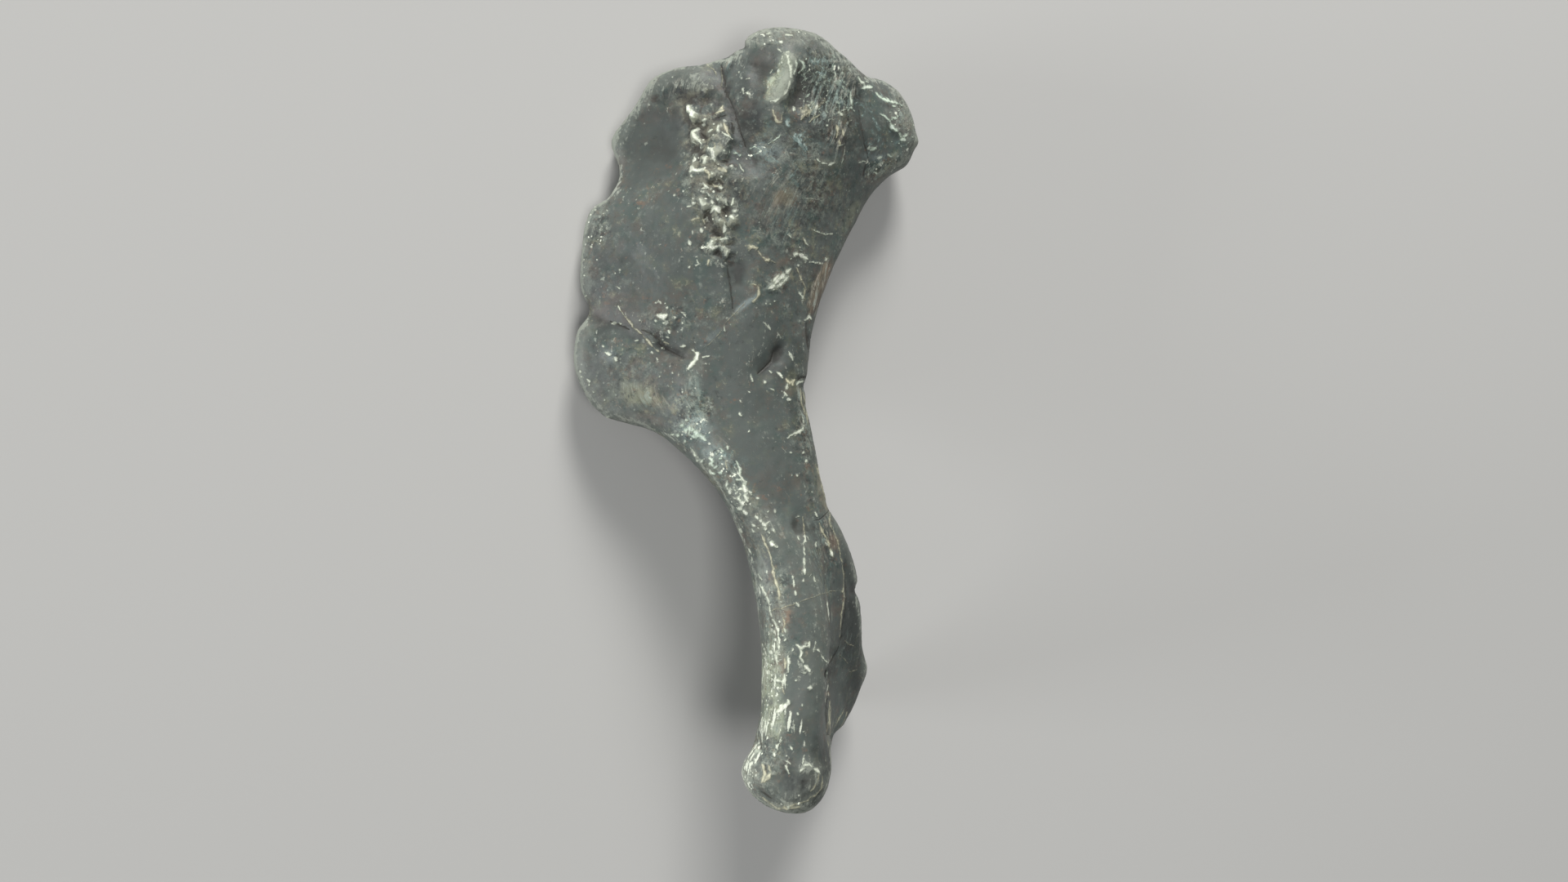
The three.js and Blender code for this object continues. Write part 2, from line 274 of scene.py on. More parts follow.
# A field of marks has seven columns for each vertex: where it lies from the nearest mark's leg, the
# mark's half width there, the gap to the mark's edge, and a number of the mark's own with its square.
# From these the material tells the exact distance also between vertices that have the same nearest
# mark, so that even small marks are drawn sharply.
LEG_PLACE, WIDTH, GAP, OWN, OWN_SQUARED = slice(0, 3), 3, 4, 5, 6
FAR = 4.0  # mm, as far as a gap is told
NO_MARK = (0.0, FAR, 0.0, 0.0, FAR, 0.0, 0.0)
OWN_STEP, OWN_START = 0.618, 0.1  # so that strokes drawn one after the other have unlike numbers
THINNING = 0.5  # share of its width that a stroke loses at its ends
BEADED_BELOW = 0.3  # mm of half width, below which a stroke's width varies in full
RISE_MARGIN = 0.25  # mm that the rise under a stroke is wider than spread times its half width


def blank():
    """A field with no marks yet."""
    return np.tile(NO_MARK, (count, 1))


def trace(field, side, strokes, lift=0.0, spread=1.6):
    """Draws strokes, each a half width in mm and its points, into a field.

    Strokes with two points or more thin out towards their ends. The surface under a stroke rises
    by lift times its half width, over a width that is spread times its own.
    """
    for number, (half_width, *points) in enumerate(strokes):
        who, distance, along, leg_place = near(side, points, FAR)
        width = np.full(len(who), half_width)
        if len(points) > 1:
            width *= 1 - THINNING * np.abs(2 * along - 1) ** 3
            width *= 1 + (beaded[who] - 1) * min(1, BEADED_BELOW / half_width)
        gap = distance - width
        closer = gap < field[who, GAP]
        own = (OWN_STEP * number + OWN_START) % 1
        field[who[closer], LEG_PLACE] = leg_place[closer]
        field[who[closer], WIDTH] = width[closer]
        field[who[closer], GAP] = gap[closer]
        field[who[closer], OWN] = own
        field[who[closer], OWN_SQUARED] = own * own
        if lift:
            dome = np.clip(1 - (distance / (spread * half_width + RISE_MARGIN)) ** 2, 0, 1)
            relief[who] += lift * half_width * dome * uneven[who]


HEADING_SPREAD = 0.22  # radians
BENDING = 0.35  # how far a stroke's points lie aside, as a share of waves times its length


def tuft(place, size, turned, number, length, half_width, seed, waves=0.25):
    """Short wavy strokes side by side in an ellipse, turned by degrees clockwise from upright."""
    rng = np.random.default_rng(seed)
    strokes = []
    while len(strokes) < number:
        spot = rng.uniform(-1, 1, 2)
        if spot @ spot > 1:
            continue
        middle = np.array(place) + spot * size
        heading = radians(turned) + rng.normal(0, HEADING_SPREAD)
        ahead = np.array((np.sin(heading), -np.cos(heading)))
        aside = np.array((ahead[1], -ahead[0]))
        reach = length * rng.uniform(0.5, 1.2)
        bends = rng.normal(0, waves * length * BENDING, 4)
        points = [middle + ahead * reach * (k / 3 - 0.5) + aside * bends[k] for k in range(4)]
        strokes.append((half_width * rng.uniform(0.7, 1.3), *[tuple(p) for p in points]))
    return strokes


def specks(place, size, number, half_widths, seed):
    """Single spots strewn in an ellipse, most of them in its middle and near the smaller of the
    two half widths."""
    smallest, largest = half_widths
    rng = np.random.default_rng(seed)
    spots = []
    for _ in range(number):
        angle = rng.uniform(0, 2 * np.pi)
        out = rng.uniform(0, 1) ** 0.8
        spot = np.array(place) + out * np.array((np.cos(angle), np.sin(angle))) * size
        radius = smallest + (largest - smallest) * rng.uniform(0, 1) ** 2.5
        spots.append((radius, tuple(spot)))
    return spots


# White calcite, as strokes: each a half width in mm, and its points in pixels of the picture.
SCAR_CALCITE = (
    (0.61, (843, 131), (848, 138), (852, 144)), (0.19, (858, 147), (864, 145)),
    (0.4, (853, 157), (851, 163), (853, 169), (857, 174)), (0.16, (849, 174), (853, 175)),
    (0.37, (880, 154), (879, 160)), (0.22, (867, 160), (873, 158)),
    (0.22, (884, 161), (888, 166), (893, 168), (896, 171)),
    (0.34, (868, 182), (872, 184), (874, 188), (875, 194), (871, 195)),
    (0.37, (866, 193), (864, 199), (862, 201)), (0.31, (850, 193), (850, 198)),
    (0.16, (858, 191), (858, 195)), (0.37, (846, 211), (849, 207), (853, 210), (861, 208)),
    (0.22, (846, 216)), (0.27, (863, 225), (866, 228)), (0.22, (881, 226), (884, 230)),
    (0.19, (865, 232), (868, 237), (872, 241)), (0.22, (857, 243), (858, 248), (861, 252)),
    (0.19, (864, 249), (860, 252)), (0.37, (871, 246), (872, 249)),
    (0.55, (870, 260), (873, 255), (878, 257), (880, 260)), (0.19, (878, 242), (881, 246)),
    (0.22, (888, 246), (889, 251)), (0.16, (886, 254)), (0.25, (898, 243), (897, 248), (895, 251)),
    (0.37, (899, 259)), (0.37, (895, 266)), (0.25, (902, 264)),
    (0.37, (888, 273), (888, 279), (887, 284)), (0.16, (881, 271), (884, 273)),
    (0.19, (889, 288), (890, 291), (886, 292), (880, 293)),
    (0.4, (873, 296), (871, 300), (868, 302), (873, 304), (878, 302)), (0.19, (883, 302), (884, 307)),
    (0.19, (890, 307), (889, 312)), (0.27, (858, 281), (859, 285)), (0.19, (848, 283), (849, 286)),
    (0.27, (843, 295), (844, 299)),
)
HEAD_CALCITE = (
    (0.29, (914, 113), (920, 116)), (0.18, (909, 108), (911, 114)), (0.14, (905, 88)),
    (0.18, (908, 95)), (0.25, (914, 96), (918, 95)), (0.22, (953, 61), (957, 64)),
    (0.25, (955, 51), (958, 53)), (0.18, (962, 66), (965, 64), (968, 67)),
    (0.14, (958, 70), (958, 78)), (0.22, (960, 66), (965, 73)),
    (0.22, (965, 74), (968, 84), (967, 98)), (0.22, (967, 98), (965, 108), (961, 116), (956, 121)),
    (0.22, (956, 122), (950, 125), (944, 125)), (0.29, (973, 77), (975, 84), (972, 90)),
    (0.22, (978, 75), (984, 78), (984, 84), (979, 88)), (0.18, (987, 73)),
    (0.14, (944, 85), (942, 89)), (0.22, (974, 131), (973, 137)), (0.18, (962, 43), (970, 44)),
    (0.14, (938, 41), (944, 40)), (0.14, (941, 100), (940, 108)),
    (0.18, (1041, 112), (1042, 122), (1043, 131)),
    (0.07, (1046, 137), (1042, 133), (1036, 134), (1030, 136)), (0.25, (1026, 137), (1031, 141)),
    (0.03, (1035, 180), (1033, 194), (1029, 211)), (0.06, (1026, 179), (1034, 176)),
    (0.22, (1000, 196), (1004, 199)), (0.18, (1006, 201), (1012, 201)),
    (0.32, (1014, 203), (1018, 201), (1022, 199)), (0.18, (1014, 154)),
    (0.04, (982, 242), (992, 243), (1002, 245)), (0.36, (1050, 96), (1054, 102), (1058, 101)),
    (0.22, (1058, 101), (1062, 101)), (0.4, (1055, 109), (1059, 107), (1067, 107)),
    (0.25, (1072, 114), (1076, 118), (1081, 121)),
    (0.4, (1081, 121), (1088, 124), (1095, 126), (1099, 127)), (0.22, (1093, 130), (1097, 131)),
    (0.18, (1078, 139), (1083, 142), (1090, 149)), (0.47, (1090, 153), (1095, 157), (1099, 160)),
    (0.29, (1101, 163), (1106, 166), (1111, 165)), (0.36, (1103, 170), (1109, 172)),
    (0.18, (1092, 143), (1096, 145), (1100, 142)), (0.29, (1066, 184), (1071, 181)),
    (0.29, (1073, 194), (1079, 192)), (0.18, (1087, 190), (1091, 193)),
    (0.22, (1077, 199), (1082, 197)), (0.18, (1050, 199), (1056, 197), (1060, 199)),
    (0.18, (1072, 212), (1075, 214)), (0.18, (899, 187), (903, 188)), (0.18, (906, 191)),
    (0.1, (917, 184), (924, 180), (931, 183)), (0.12, (922, 190), (930, 187)),
    (0.14, (940, 175), (950, 171), (956, 166)), (0.13, (906, 200), (908, 206), (911, 210)),
)
CREST_CALCITE = (
    (0.18, (823, 94)), (0.21, (795, 128)), (0.18, (728, 258)), (0.16, (739, 262)), (0.16, (743, 258)),
    (0.21, (724, 302)), (0.18, (715, 337)), (0.16, (718, 362)), (0.16, (753, 335)),
    (0.16, (759, 331)), (0.16, (755, 350), (759, 353)), (0.18, (750, 396), (755, 396)),
    (0.18, (759, 396), (761, 397)), (0.18, (757, 374), (760, 379)), (0.18, (762, 382), (766, 386)),
    (0.21, (806, 368), (809, 371)), (0.25, (817, 376)), (0.56, (806, 387), (811, 388), (815, 386)),
    (0.25, (812, 391)), (0.21, (812, 396)), (0.25, (819, 405), (820, 408)),
    (0.18, (816, 413), (819, 414)), (0.21, (777, 417), (781, 417)), (0.18, (800, 419), (802, 419)),
    (0.21, (798, 432), (800, 433)), (0.18, (804, 438), (805, 441)), (0.25, (739, 424)),
    (0.43, (742, 432), (747, 434)), (0.37, (752, 438), (754, 441)), (0.21, (824, 456)),
    (0.16, (807, 461)), (0.21, (834, 383), (838, 387), (841, 389)), (0.28, (834, 424), (839, 424)),
    (0.42, (848, 429), (854, 433), (855, 438), (850, 442), (845, 446), (842, 451)),
    (0.21, (710, 456)), (0.25, (711, 462)), (0.18, (721, 472)), (0.18, (718, 466), (722, 468)),
    (0.16, (727, 480)), (0.18, (741, 489)), (0.18, (742, 511), (746, 510)), (0.21, (841, 498)),
    (0.18, (843, 504)), (0.25, (840, 514), (843, 514)), (0.31, (833, 523), (837, 519)),
    (0.31, (830, 533)), (0.31, (848, 534), (854, 537)), (0.37, (850, 526)), (0.31, (858, 533)),
    (0.21, (887, 401), (887, 406)), (0.18, (861, 437), (869, 436)), (0.16, (862, 445), (866, 446)),
    (0.18, (826, 239)), (0.18, (848, 243)), (0.18, (841, 254), (847, 253), (851, 249)),
    (0.21, (854, 314)), (0.18, (855, 318), (857, 324), (853, 325)), (0.21, (845, 328)),
)
SHAFT_CALCITE = (
    (0.4, (942, 353), (948, 350)), (0.36, (949, 346), (954, 342)), (0.4, (955, 341), (960, 337)),
    (0.3, (950, 352), (958, 346), (966, 338)), (0.3, (946, 345), (952, 338)),
    (0.42, (964, 334), (968, 330)), (0.14, (947, 356), (957, 348), (964, 340)),
    (0.19, (968, 318), (970, 315)), (0.34, (971, 315), (974, 311), (976, 313)),
    (0.42, (979, 312), (984, 315), (988, 318)), (0.19, (984, 319), (986, 322)),
    (0.15, (991, 321), (999, 322), (1007, 323)), (0.23, (998, 322), (1001, 322)),
    (0.23, (1010, 319), (1012, 317)), (0.23, (979, 303)), (0.15, (984, 290), (987, 296), (991, 301)),
    (0.23, (978, 325)), (0.12, (996, 281), (1003, 284), (1010, 287), (1020, 287)),
    (0.19, (966, 287), (970, 292)), (0.19, (982, 369), (982, 373)), (0.15, (940, 368)),
    (0.19, (939, 372)), (0.17, (944, 373)), (0.17, (949, 370)), (0.17, (978, 357), (984, 366)),
    (0.15, (935, 395), (939, 399), (943, 404)), (0.15, (955, 410), (957, 414)),
    (0.23, (985, 393), (988, 391), (991, 388), (994, 391)),
    (0.19, (966, 430), (969, 435), (971, 440)), (0.27, (951, 457), (954, 459), (957, 462)),
    (0.14, (942, 454), (944, 457)), (0.15, (920, 460), (922, 467)), (0.27, (937, 468)),
    (0.23, (944, 476), (947, 478)), (0.23, (918, 480)), (0.17, (906, 490), (907, 493)),
    (0.27, (905, 507), (908, 509)), (0.21, (917, 528)), (0.27, (963, 470), (962, 476)),
    (0.3, (960, 479), (963, 483)), (0.29, (964, 488), (967, 489)), (0.15, (958, 486)),
    (0.3, (975, 471), (978, 469), (983, 467)), (0.19, (983, 510), (984, 518)),
    (0.24, (984, 521), (982, 525), (976, 529), (970, 533), (965, 537)),
    (0.34, (832, 522), (837, 518)), (0.32, (829, 533), (831, 530)), (0.23, (822, 533), (825, 532)),
    (0.38, (838, 527), (842, 526)), (0.32, (845, 521), (845, 528), (843, 533)),
    (0.46, (850, 527), (855, 531)), (0.38, (853, 535), (858, 533), (861, 537), (864, 540)),
    (0.27, (848, 523)), (0.27, (838, 540)), (0.15, (845, 548), (851, 556), (854, 561)),
    (0.32, (850, 556), (852, 559)), (0.24, (854, 564)), (0.27, (859, 565)),
    (0.3, (868, 560), (873, 564), (870, 568), (873, 570)), (0.29, (875, 573), (878, 571)),
    (0.24, (869, 575), (871, 578), (876, 580)), (0.25, (881, 579), (884, 580)), (0.23, (877, 556)),
    (0.21, (882, 550), (885, 553)), (0.29, (891, 547), (891, 550)), (0.25, (881, 562), (885, 561)),
    (0.25, (901, 565), (904, 570), (906, 576), (906, 581)), (0.25, (890, 589), (890, 595)),
    (0.34, (891, 597), (893, 600), (895, 604)), (0.36, (902, 587), (906, 587)),
    (0.23, (908, 584), (909, 590)), (0.21, (900, 592), (899, 598), (902, 604)),
    (0.17, (903, 600), (906, 607)), (0.53, (911, 592), (911, 600), (914, 604)),
    (0.3, (916, 602), (919, 606)), (0.23, (914, 590)), (0.34, (910, 607), (914, 611), (915, 615)),
    (0.29, (903, 610), (906, 614)), (0.21, (897, 608), (900, 611)), (0.36, (907, 616), (911, 618)),
    (0.27, (928, 610)), (0.23, (908, 622)), (0.29, (911, 625), (914, 630)), (0.15, (941, 626)),
    (0.21, (949, 627)), (0.19, (969, 554)), (0.21, (984, 555)), (0.21, (988, 564), (988, 567)),
    (0.23, (976, 582)), (0.15, (970, 582)), (0.25, (903, 622), (908, 624)),
    (0.27, (926, 632), (929, 635)), (0.24, (930, 636), (933, 639)), (0.36, (934, 640), (937, 644)),
    (0.21, (937, 642), (942, 638)), (0.23, (936, 646), (938, 649)), (0.17, (940, 650), (942, 653)),
    (0.32, (946, 649), (949, 652)), (0.24, (922, 642), (926, 645)), (0.3, (921, 648), (924, 651)),
    (0.21, (928, 645), (931, 648)), (0.19, (905, 647), (908, 652)), (0.17, (917, 672), (919, 678)),
    (0.19, (920, 682), (922, 686)), (0.53, (944, 664), (948, 667)), (0.27, (948, 667), (953, 669)),
    (0.24, (929, 703), (932, 710)), (0.29, (931, 716), (934, 722), (937, 730)),
    (0.23, (937, 730), (940, 738), (943, 746), (946, 755)),
    (0.25, (947, 758), (950, 765), (953, 775)), (0.21, (953, 775), (952, 790)),
    (0.27, (998, 627), (1001, 632)), (0.15, (975, 633), (979, 632)),
    (0.29, (984, 655), (985, 662), (982, 667)), (0.19, (977, 656), (978, 661)),
    (0.17, (988, 656), (990, 660)), (0.18, (982, 670), (984, 680), (985, 690), (984, 697)),
    (0.32, (985, 697), (985, 703)), (0.23, (984, 708), (983, 711)), (0.19, (970, 705), (971, 708)),
    (0.29, (972, 710), (972, 716)), (0.25, (973, 723), (974, 728)), (0.17, (1000, 663), (1000, 668)),
    (0.21, (1011, 663), (1012, 667)), (0.27, (1016, 673), (1018, 681)),
    (0.14, (996, 705), (998, 712)), (0.3, (975, 738), (978, 742)), (0.27, (954, 788), (955, 800)),
    (0.32, (951, 798), (952, 812)), (0.21, (960, 770), (962, 775)), (0.19, (960, 785), (962, 783)),
    (0.23, (964, 800), (966, 811), (966, 822)), (0.32, (961, 825), (962, 845)),
    (0.34, (950, 832), (958, 835)), (0.29, (964, 856), (966, 862)),
    (0.38, (966, 859), (958, 868), (952, 872)), (0.27, (971, 793), (969, 799)),
    (0.27, (975, 790), (980, 792), (986, 791), (990, 790), (991, 785)),
    (0.32, (979, 793), (980, 800), (979, 805)), (0.24, (980, 806), (983, 812)),
    (0.47, (984, 815), (988, 819), (991, 823)), (0.24, (981, 824), (986, 825)),
    (0.19, (977, 808), (978, 815)), (0.34, (989, 843), (993, 843)), (0.27, (974, 833)),
    (0.19, (983, 863)), (0.27, (978, 873), (978, 875)), (0.15, (973, 888), (972, 896)),
    (0.19, (983, 897), (986, 896)), (0.24, (999, 785), (998, 792), (995, 798)),
    (0.29, (1000, 795), (1003, 797)), (0.14, (1004, 799), (1008, 807), (1013, 812)),
    (0.12, (1013, 812), (1018, 806), (1019, 802)), (0.19, (1014, 849), (1014, 852)),
    (0.38, (948, 921), (950, 926)), (0.27, (951, 912), (953, 918)), (0.21, (957, 903), (955, 910)),
    (0.23, (968, 914), (970, 918)), (0.21, (964, 925), (966, 928)), (0.19, (963, 932), (968, 936)),
    (0.24, (962, 938), (965, 948)), (0.34, (980, 945), (984, 941)),
    (0.21, (983, 938), (990, 936), (994, 940)), (0.21, (994, 940), (1000, 945), (1003, 948)),
    (0.12, (984, 925), (983, 935)), (0.27, (965, 988)),
)
# The same on the inner side, with its points in mm of the drawing.
INNER_CALCITE = (
    (0.4, (-34, 44), (-30, 38), (-27, 30), (-24, 26)), (0.35, (-27, 30), (-32, 27), (-36, 26)),
    (0.35, (-12, 66), (-8, 60), (-6, 52), (-1, 46), (1, 40)), (0.3, (-6, 52), (-11, 49)),
    (0.45, (14, 60), (10, 55), (4, 52)), (0.3, (4, 52), (-1, 46)), (0.5, (18, 70), (22, 66)),
    (0.35, (-8, 4), (-5, -6), (-6, -14)), (0.4, (2, -20), (5, -30), (4, -40)),
    (0.3, (5, -30), (9, -34), (11, -41)), (0.35, (10, -52), (6, -56), (4, -64)), (0.7, (-22, 62)),
    (0.5, (-19, 59)), (0.4, (-25, 58)), (0.6, (-4, 20), (-2, 16)), (0.4, (-8, 28)),
)
calcite = blank()
trace(calcite, outer, SCAR_CALCITE, lift=0.6)
trace(calcite, outer, HEAD_CALCITE + CREST_CALCITE + SHAFT_CALCITE, lift=0.25)
trace(calcite, outer, specks((872, 235), (34, 90), 20, (0.15, 0.3), seed=14), lift=0.5)
trace(calcite, outer, specks((812, 400), (30, 36), 12, (0.15, 0.25), seed=15), lift=0.3)
trace(calcite, outer, tuft((1012, 106), (30, 44), turned=-4, number=110, length=12,
                           half_width=0.02, seed=31, waves=0.5), lift=0.4)
trace(calcite, outer, specks((1104, 150), (16, 44), 40, (0.06, 0.2), seed=33), lift=0.3)
trace(calcite, inner, INNER_CALCITE, lift=0.4)
trace(calcite, inner, specks((-18, 50), (14, 22), 70, (0.15, 0.5), seed=26), lift=0.4)
trace(calcite, inner, specks((8, 66), (16, 12), 40, (0.15, 0.35), seed=27), lift=0.3)

# Cream and olive veins and fibres, in the same way.
CREAM = (
    (0.48, (880, 206), (886, 207), (890, 209)), (0.3, (862, 207), (868, 212), (868, 218)),
    (0.18, (876, 176), (877, 184)), (0.3, (884, 128), (883, 134)), (0.24, (876, 136), (886, 135)),
    (0.24, (886, 150), (890, 158), (893, 166)), (0.05, (882, 84), (884, 96), (883, 110)),
    (0.08, (863, 76), (872, 84), (878, 94)), (0.3, (860, 269), (862, 273)),
    (0.24, (845, 270), (856, 268)), (0.27, (868, 319), (867, 325)), (0.18, (872, 291), (882, 290)),
    (0.21, (872, 222), (876, 226), (884, 226)), (0.24, (916, 303), (917, 307)),
    (0.3, (914, 302), (922, 302), (928, 304)), (0.21, (928, 306), (933, 313), (938, 318)),
    (0.36, (937, 318), (942, 318)), (0.15, (942, 319), (949, 322)),
    (0.3, (929, 352), (930, 358), (928, 364)), (0.36, (928, 366), (922, 369)),
    (0.18, (926, 349), (919, 349)), (0.08, (913, 371), (908, 377), (902, 382), (896, 388)),
    (0.06, (896, 388), (890, 394)), (0.03, (888, 396), (881, 408), (874, 417), (862, 425)),
    (0.21, (976, 328), (980, 336), (981, 344)), (0.15, (981, 344), (986, 352), (984, 366)),
    (0.24, (984, 292), (988, 298)), (0.18, (757, 374), (766, 386), (776, 400), (786, 410)),
    (0.24, (786, 410), (796, 420), (806, 430)), (0.24, (813, 419), (819, 421)),
    (0.22, (933, 655), (938, 667), (943, 681), (945, 690)),
    (0.32, (945, 690), (949, 705), (953, 722), (953, 734)),
    (0.09, (944, 750), (951, 745), (957, 746), (964, 741), (971, 740), (977, 737)),
    (0.2, (958, 752), (961, 765), (958, 775)), (0.24, (1005, 640), (1008, 650), (1012, 658)),
    (0.26, (1012, 658), (1015, 668), (1019, 682)),
    (0.14, (1013, 627), (1018, 645), (1024, 660), (1028, 675), (1031, 690)),
    (0.16, (1031, 690), (1032, 705), (1031, 720), (1030, 740), (1028, 760), (1027, 780)),
    (0.24, (1028, 722), (1031, 725)),
    (0.06, (977, 737), (985, 735), (1000, 729), (1012, 726), (1028, 722)),
    (0.16, (983, 633), (985, 645), (984, 655)), (0.14, (1000, 568), (1006, 588), (1010, 612)),
    (0.16, (889, 564), (890, 576)), (0.36, (961, 463), (966, 468), (972, 465)),
    (0.28, (968, 464), (970, 471)), (0.16, (979, 475), (981, 492), (986, 508)),
    (0.14, (983, 480), (987, 500), (989, 520)), (0.36, (934, 937), (936, 948), (934, 958)),
    (0.4, (936, 958), (941, 954), (944, 946)), (0.28, (944, 946), (941, 938)),
    (0.24, (933, 978), (942, 985), (953, 990)), (0.28, (953, 989), (966, 989), (980, 989)),
    (0.13, (1008, 950), (1007, 965), (1000, 975), (988, 983)),
    (0.13, (988, 983), (974, 986), (960, 986)), (0.13, (1001, 948), (1000, 960), (994, 970)),
    (0.08, (1035, 786), (1041, 790), (1047, 792)), (0.06, (1028, 802), (1033, 806), (1038, 812)),
    (0.06, (1040, 822), (1048, 820)), (0.06, (1052, 828), (1056, 832)),
    (0.11, (1022, 890), (1028, 879), (1034, 868)), (0.1, (1027, 892), (1033, 882), (1038, 872)),
    (0.16, (1016, 858), (1016, 880), (1016, 900)), (0.24, (961, 806), (962, 818)),
    (0.2, (957, 838), (960, 850)), (0.3, (946, 136), (950, 148), (956, 150)),
    (0.24, (956, 148), (956, 140)), (0.3, (1025, 152), (1026, 160), (1024, 168)),
    (0.24, (1031, 158), (1033, 166)), (0.24, (1028, 172), (1029, 177)),
)
cream = blank()
trace(cream, outer, CREAM, lift=0.25)
trace(cream, outer, tuft((992, 134), (16, 14), turned=42, number=12, length=16,
                         half_width=0.17, seed=32), lift=0.5)
trace(cream, inner, tuft((6, 74), (16, 8), turned=20, number=20, length=3,
                         half_width=0.2, seed=41), lift=0.3)
trace(cream, inner, tuft((4, -64), (9, 9), turned=5, number=20, length=3,
                         half_width=0.2, seed=42), lift=0.3)
trace(cream, inner, specks((-24, 30), (16, 30), 40, (0.15, 0.5), seed=43), lift=0.2)

# Cracks, slits and the dark edges of steps, which are painted shade, in the same way.
CRACK_LINES_AND_STEP_SHADE = (
    (0.16, (882, 80), (886, 96), (889, 112), (897, 130)),
    (0.12, (897, 130), (903, 148), (908, 165), (913, 180)),
    (0.14, (886, 108), (892, 112), (889, 118)), (0.14, (891, 326), (893, 350), (898, 378)),
    (0.14, (748, 394), (758, 398), (770, 404)), (0.16, (786, 404), (800, 410), (812, 420)),
    (0.15, (806, 420), (820, 430), (836, 438)),
    (0.12, (929, 457), (937, 450), (944, 442), (949, 430)), (0.2, (976, 467), (982, 463), (988, 462)),
    (0.1, (998, 637), (1004, 636), (1009, 632), (1013, 625)),
    (0.12, (1052, 136), (1058, 172), (1062, 194), (1058, 216)), (0.14, (1047, 104), (1050, 124)),
    (0.2, (1014, 821), (1014, 829)), (0.14, (1013, 856), (1013, 880), (1014, 900)),
    (0.2, (930, 972), (936, 975), (943, 980)), (0.15, (937, 938), (938, 946)),
    (0.15, (928, 904), (929, 916)), (0.15, (896, 150), (898, 162)), (0.2, (988, 396), (990, 430)),
    (0.14, (1033, 690), (1035, 718), (1033, 750), (1030, 780)),
    (0.14, (1030, 780), (1022, 800), (1017, 812)), (0.2, (872, 221), (880, 219), (886, 224)),
    (0.2, (852, 152), (860, 148)), (0.2, (880, 142), (888, 141)), (0.2, (858, 162), (862, 168)),
    (0.2, (884, 258), (888, 261)), (0.2, (878, 231), (882, 234)), (0.2, (882, 196), (892, 196)),
    (0.2, (876, 200), (884, 205)),
)
INNER_CRACKS = (
    (0.3, (-24, 74), (-21, 66), (-18, 58), (-16, 50)), (0.25, (-21, 66), (-16, 64), (-13, 61)),
    (0.25, (-44, 26), (-36, 23), (-28, 18), (-21, 17)), (0.2, (-6, -32), (2, -31), (10, -29)),
    (0.25, (8, -31), (16, -32)), (0.25, (16, 74), (18, 66), (15, 58)),
)
cracks_and_step_shade = blank()
trace(cracks_and_step_shade, outer, CRACK_LINES_AND_STEP_SHADE, lift=-0.9, spread=2)
trace(cracks_and_step_shade, inner, INNER_CRACKS, lift=-1.2, spread=1.5)

# Hollows and rises that have no colour of their own: each a height and a radius in mm, and its
# points in pixels of the picture.
MOULDING_REACH = 2.5  # radii
MOULDING = (
    (-0.6, 2.4, (912, 140), (922, 152), (934, 166)), (0.8, 1.7, (965, 76), (966, 96), (958, 116)),
    (0.4, 2.0, (950, 100)), (-0.8, 1.7, (980, 94), (979, 110), (972, 128)),
    (-0.5, 3.0, (926, 66), (934, 84)), (0.3, 2.6, (806, 106), (838, 100), (872, 104)),
    (-0.5, 1.5, (806, 122), (840, 119), (876, 121)), (-0.8, 1.8, (868, 130), (868, 142)),
    (-0.5, 1.2, (854, 180), (852, 186)), (-0.5, 0.9, (861, 157), (861, 166)),
    (0.5, 2.0, (884, 172), (884, 186)), (-0.4, 1.0, (896, 182), (895, 194)), (0.5, 1.2, (884, 207)),
    (-0.4, 1.0, (868, 264), (870, 270)), (-0.4, 1.0, (876, 286)), (-0.4, 1.2, (862, 296), (860, 306)),
    (-0.4, 1.6, (884, 222), (890, 232)), (-0.3, 1.4, (876, 284)), (-0.4, 1.4, (886, 262)),
    (0.35, 1.2, (896, 100), (904, 124), (912, 146)), (0.3, 1.6, (884, 330), (886, 372)),
    (-0.3, 1.3, (951, 440), (953, 430)), (-0.35, 1.6, (904, 326), (906, 345)),
    (-0.25, 0.8, (808, 421), (822, 430), (836, 436)), (0.35, 0.8, (979, 638), (979, 646)),
    (0.35, 2.0, (846, 460), (850, 500)), (-0.3, 2.2, (816, 490)), (0.3, 1.4, (858, 520)),
    (0.4, 1.5, (1006, 622), (1010, 628)), (-0.3, 2.0, (1000, 650)),
    (0.35, 1.1, (1027, 690), (1030, 720), (1027, 760), (1022, 790)), (-0.5, 1.2, (1014, 824)),
    (-0.5, 1.3, (926, 906), (929, 916)), (0.35, 1.6, (940, 934), (945, 944)),
    (-0.4, 2.4, (956, 966), (984, 964)), (0.35, 1.5, (986, 938), (1000, 946), (1002, 960)),
    (-0.3, 1.0, (1008, 950), (1002, 970), (986, 980)), (-0.45, 1.4, (930, 972), (942, 979)),
)
for height, radius, *points in MOULDING:
    who, distance, _, _ = near(outer, points, MOULDING_REACH * radius)
    relief[who] += height * np.exp(-((distance / radius) ** 2))

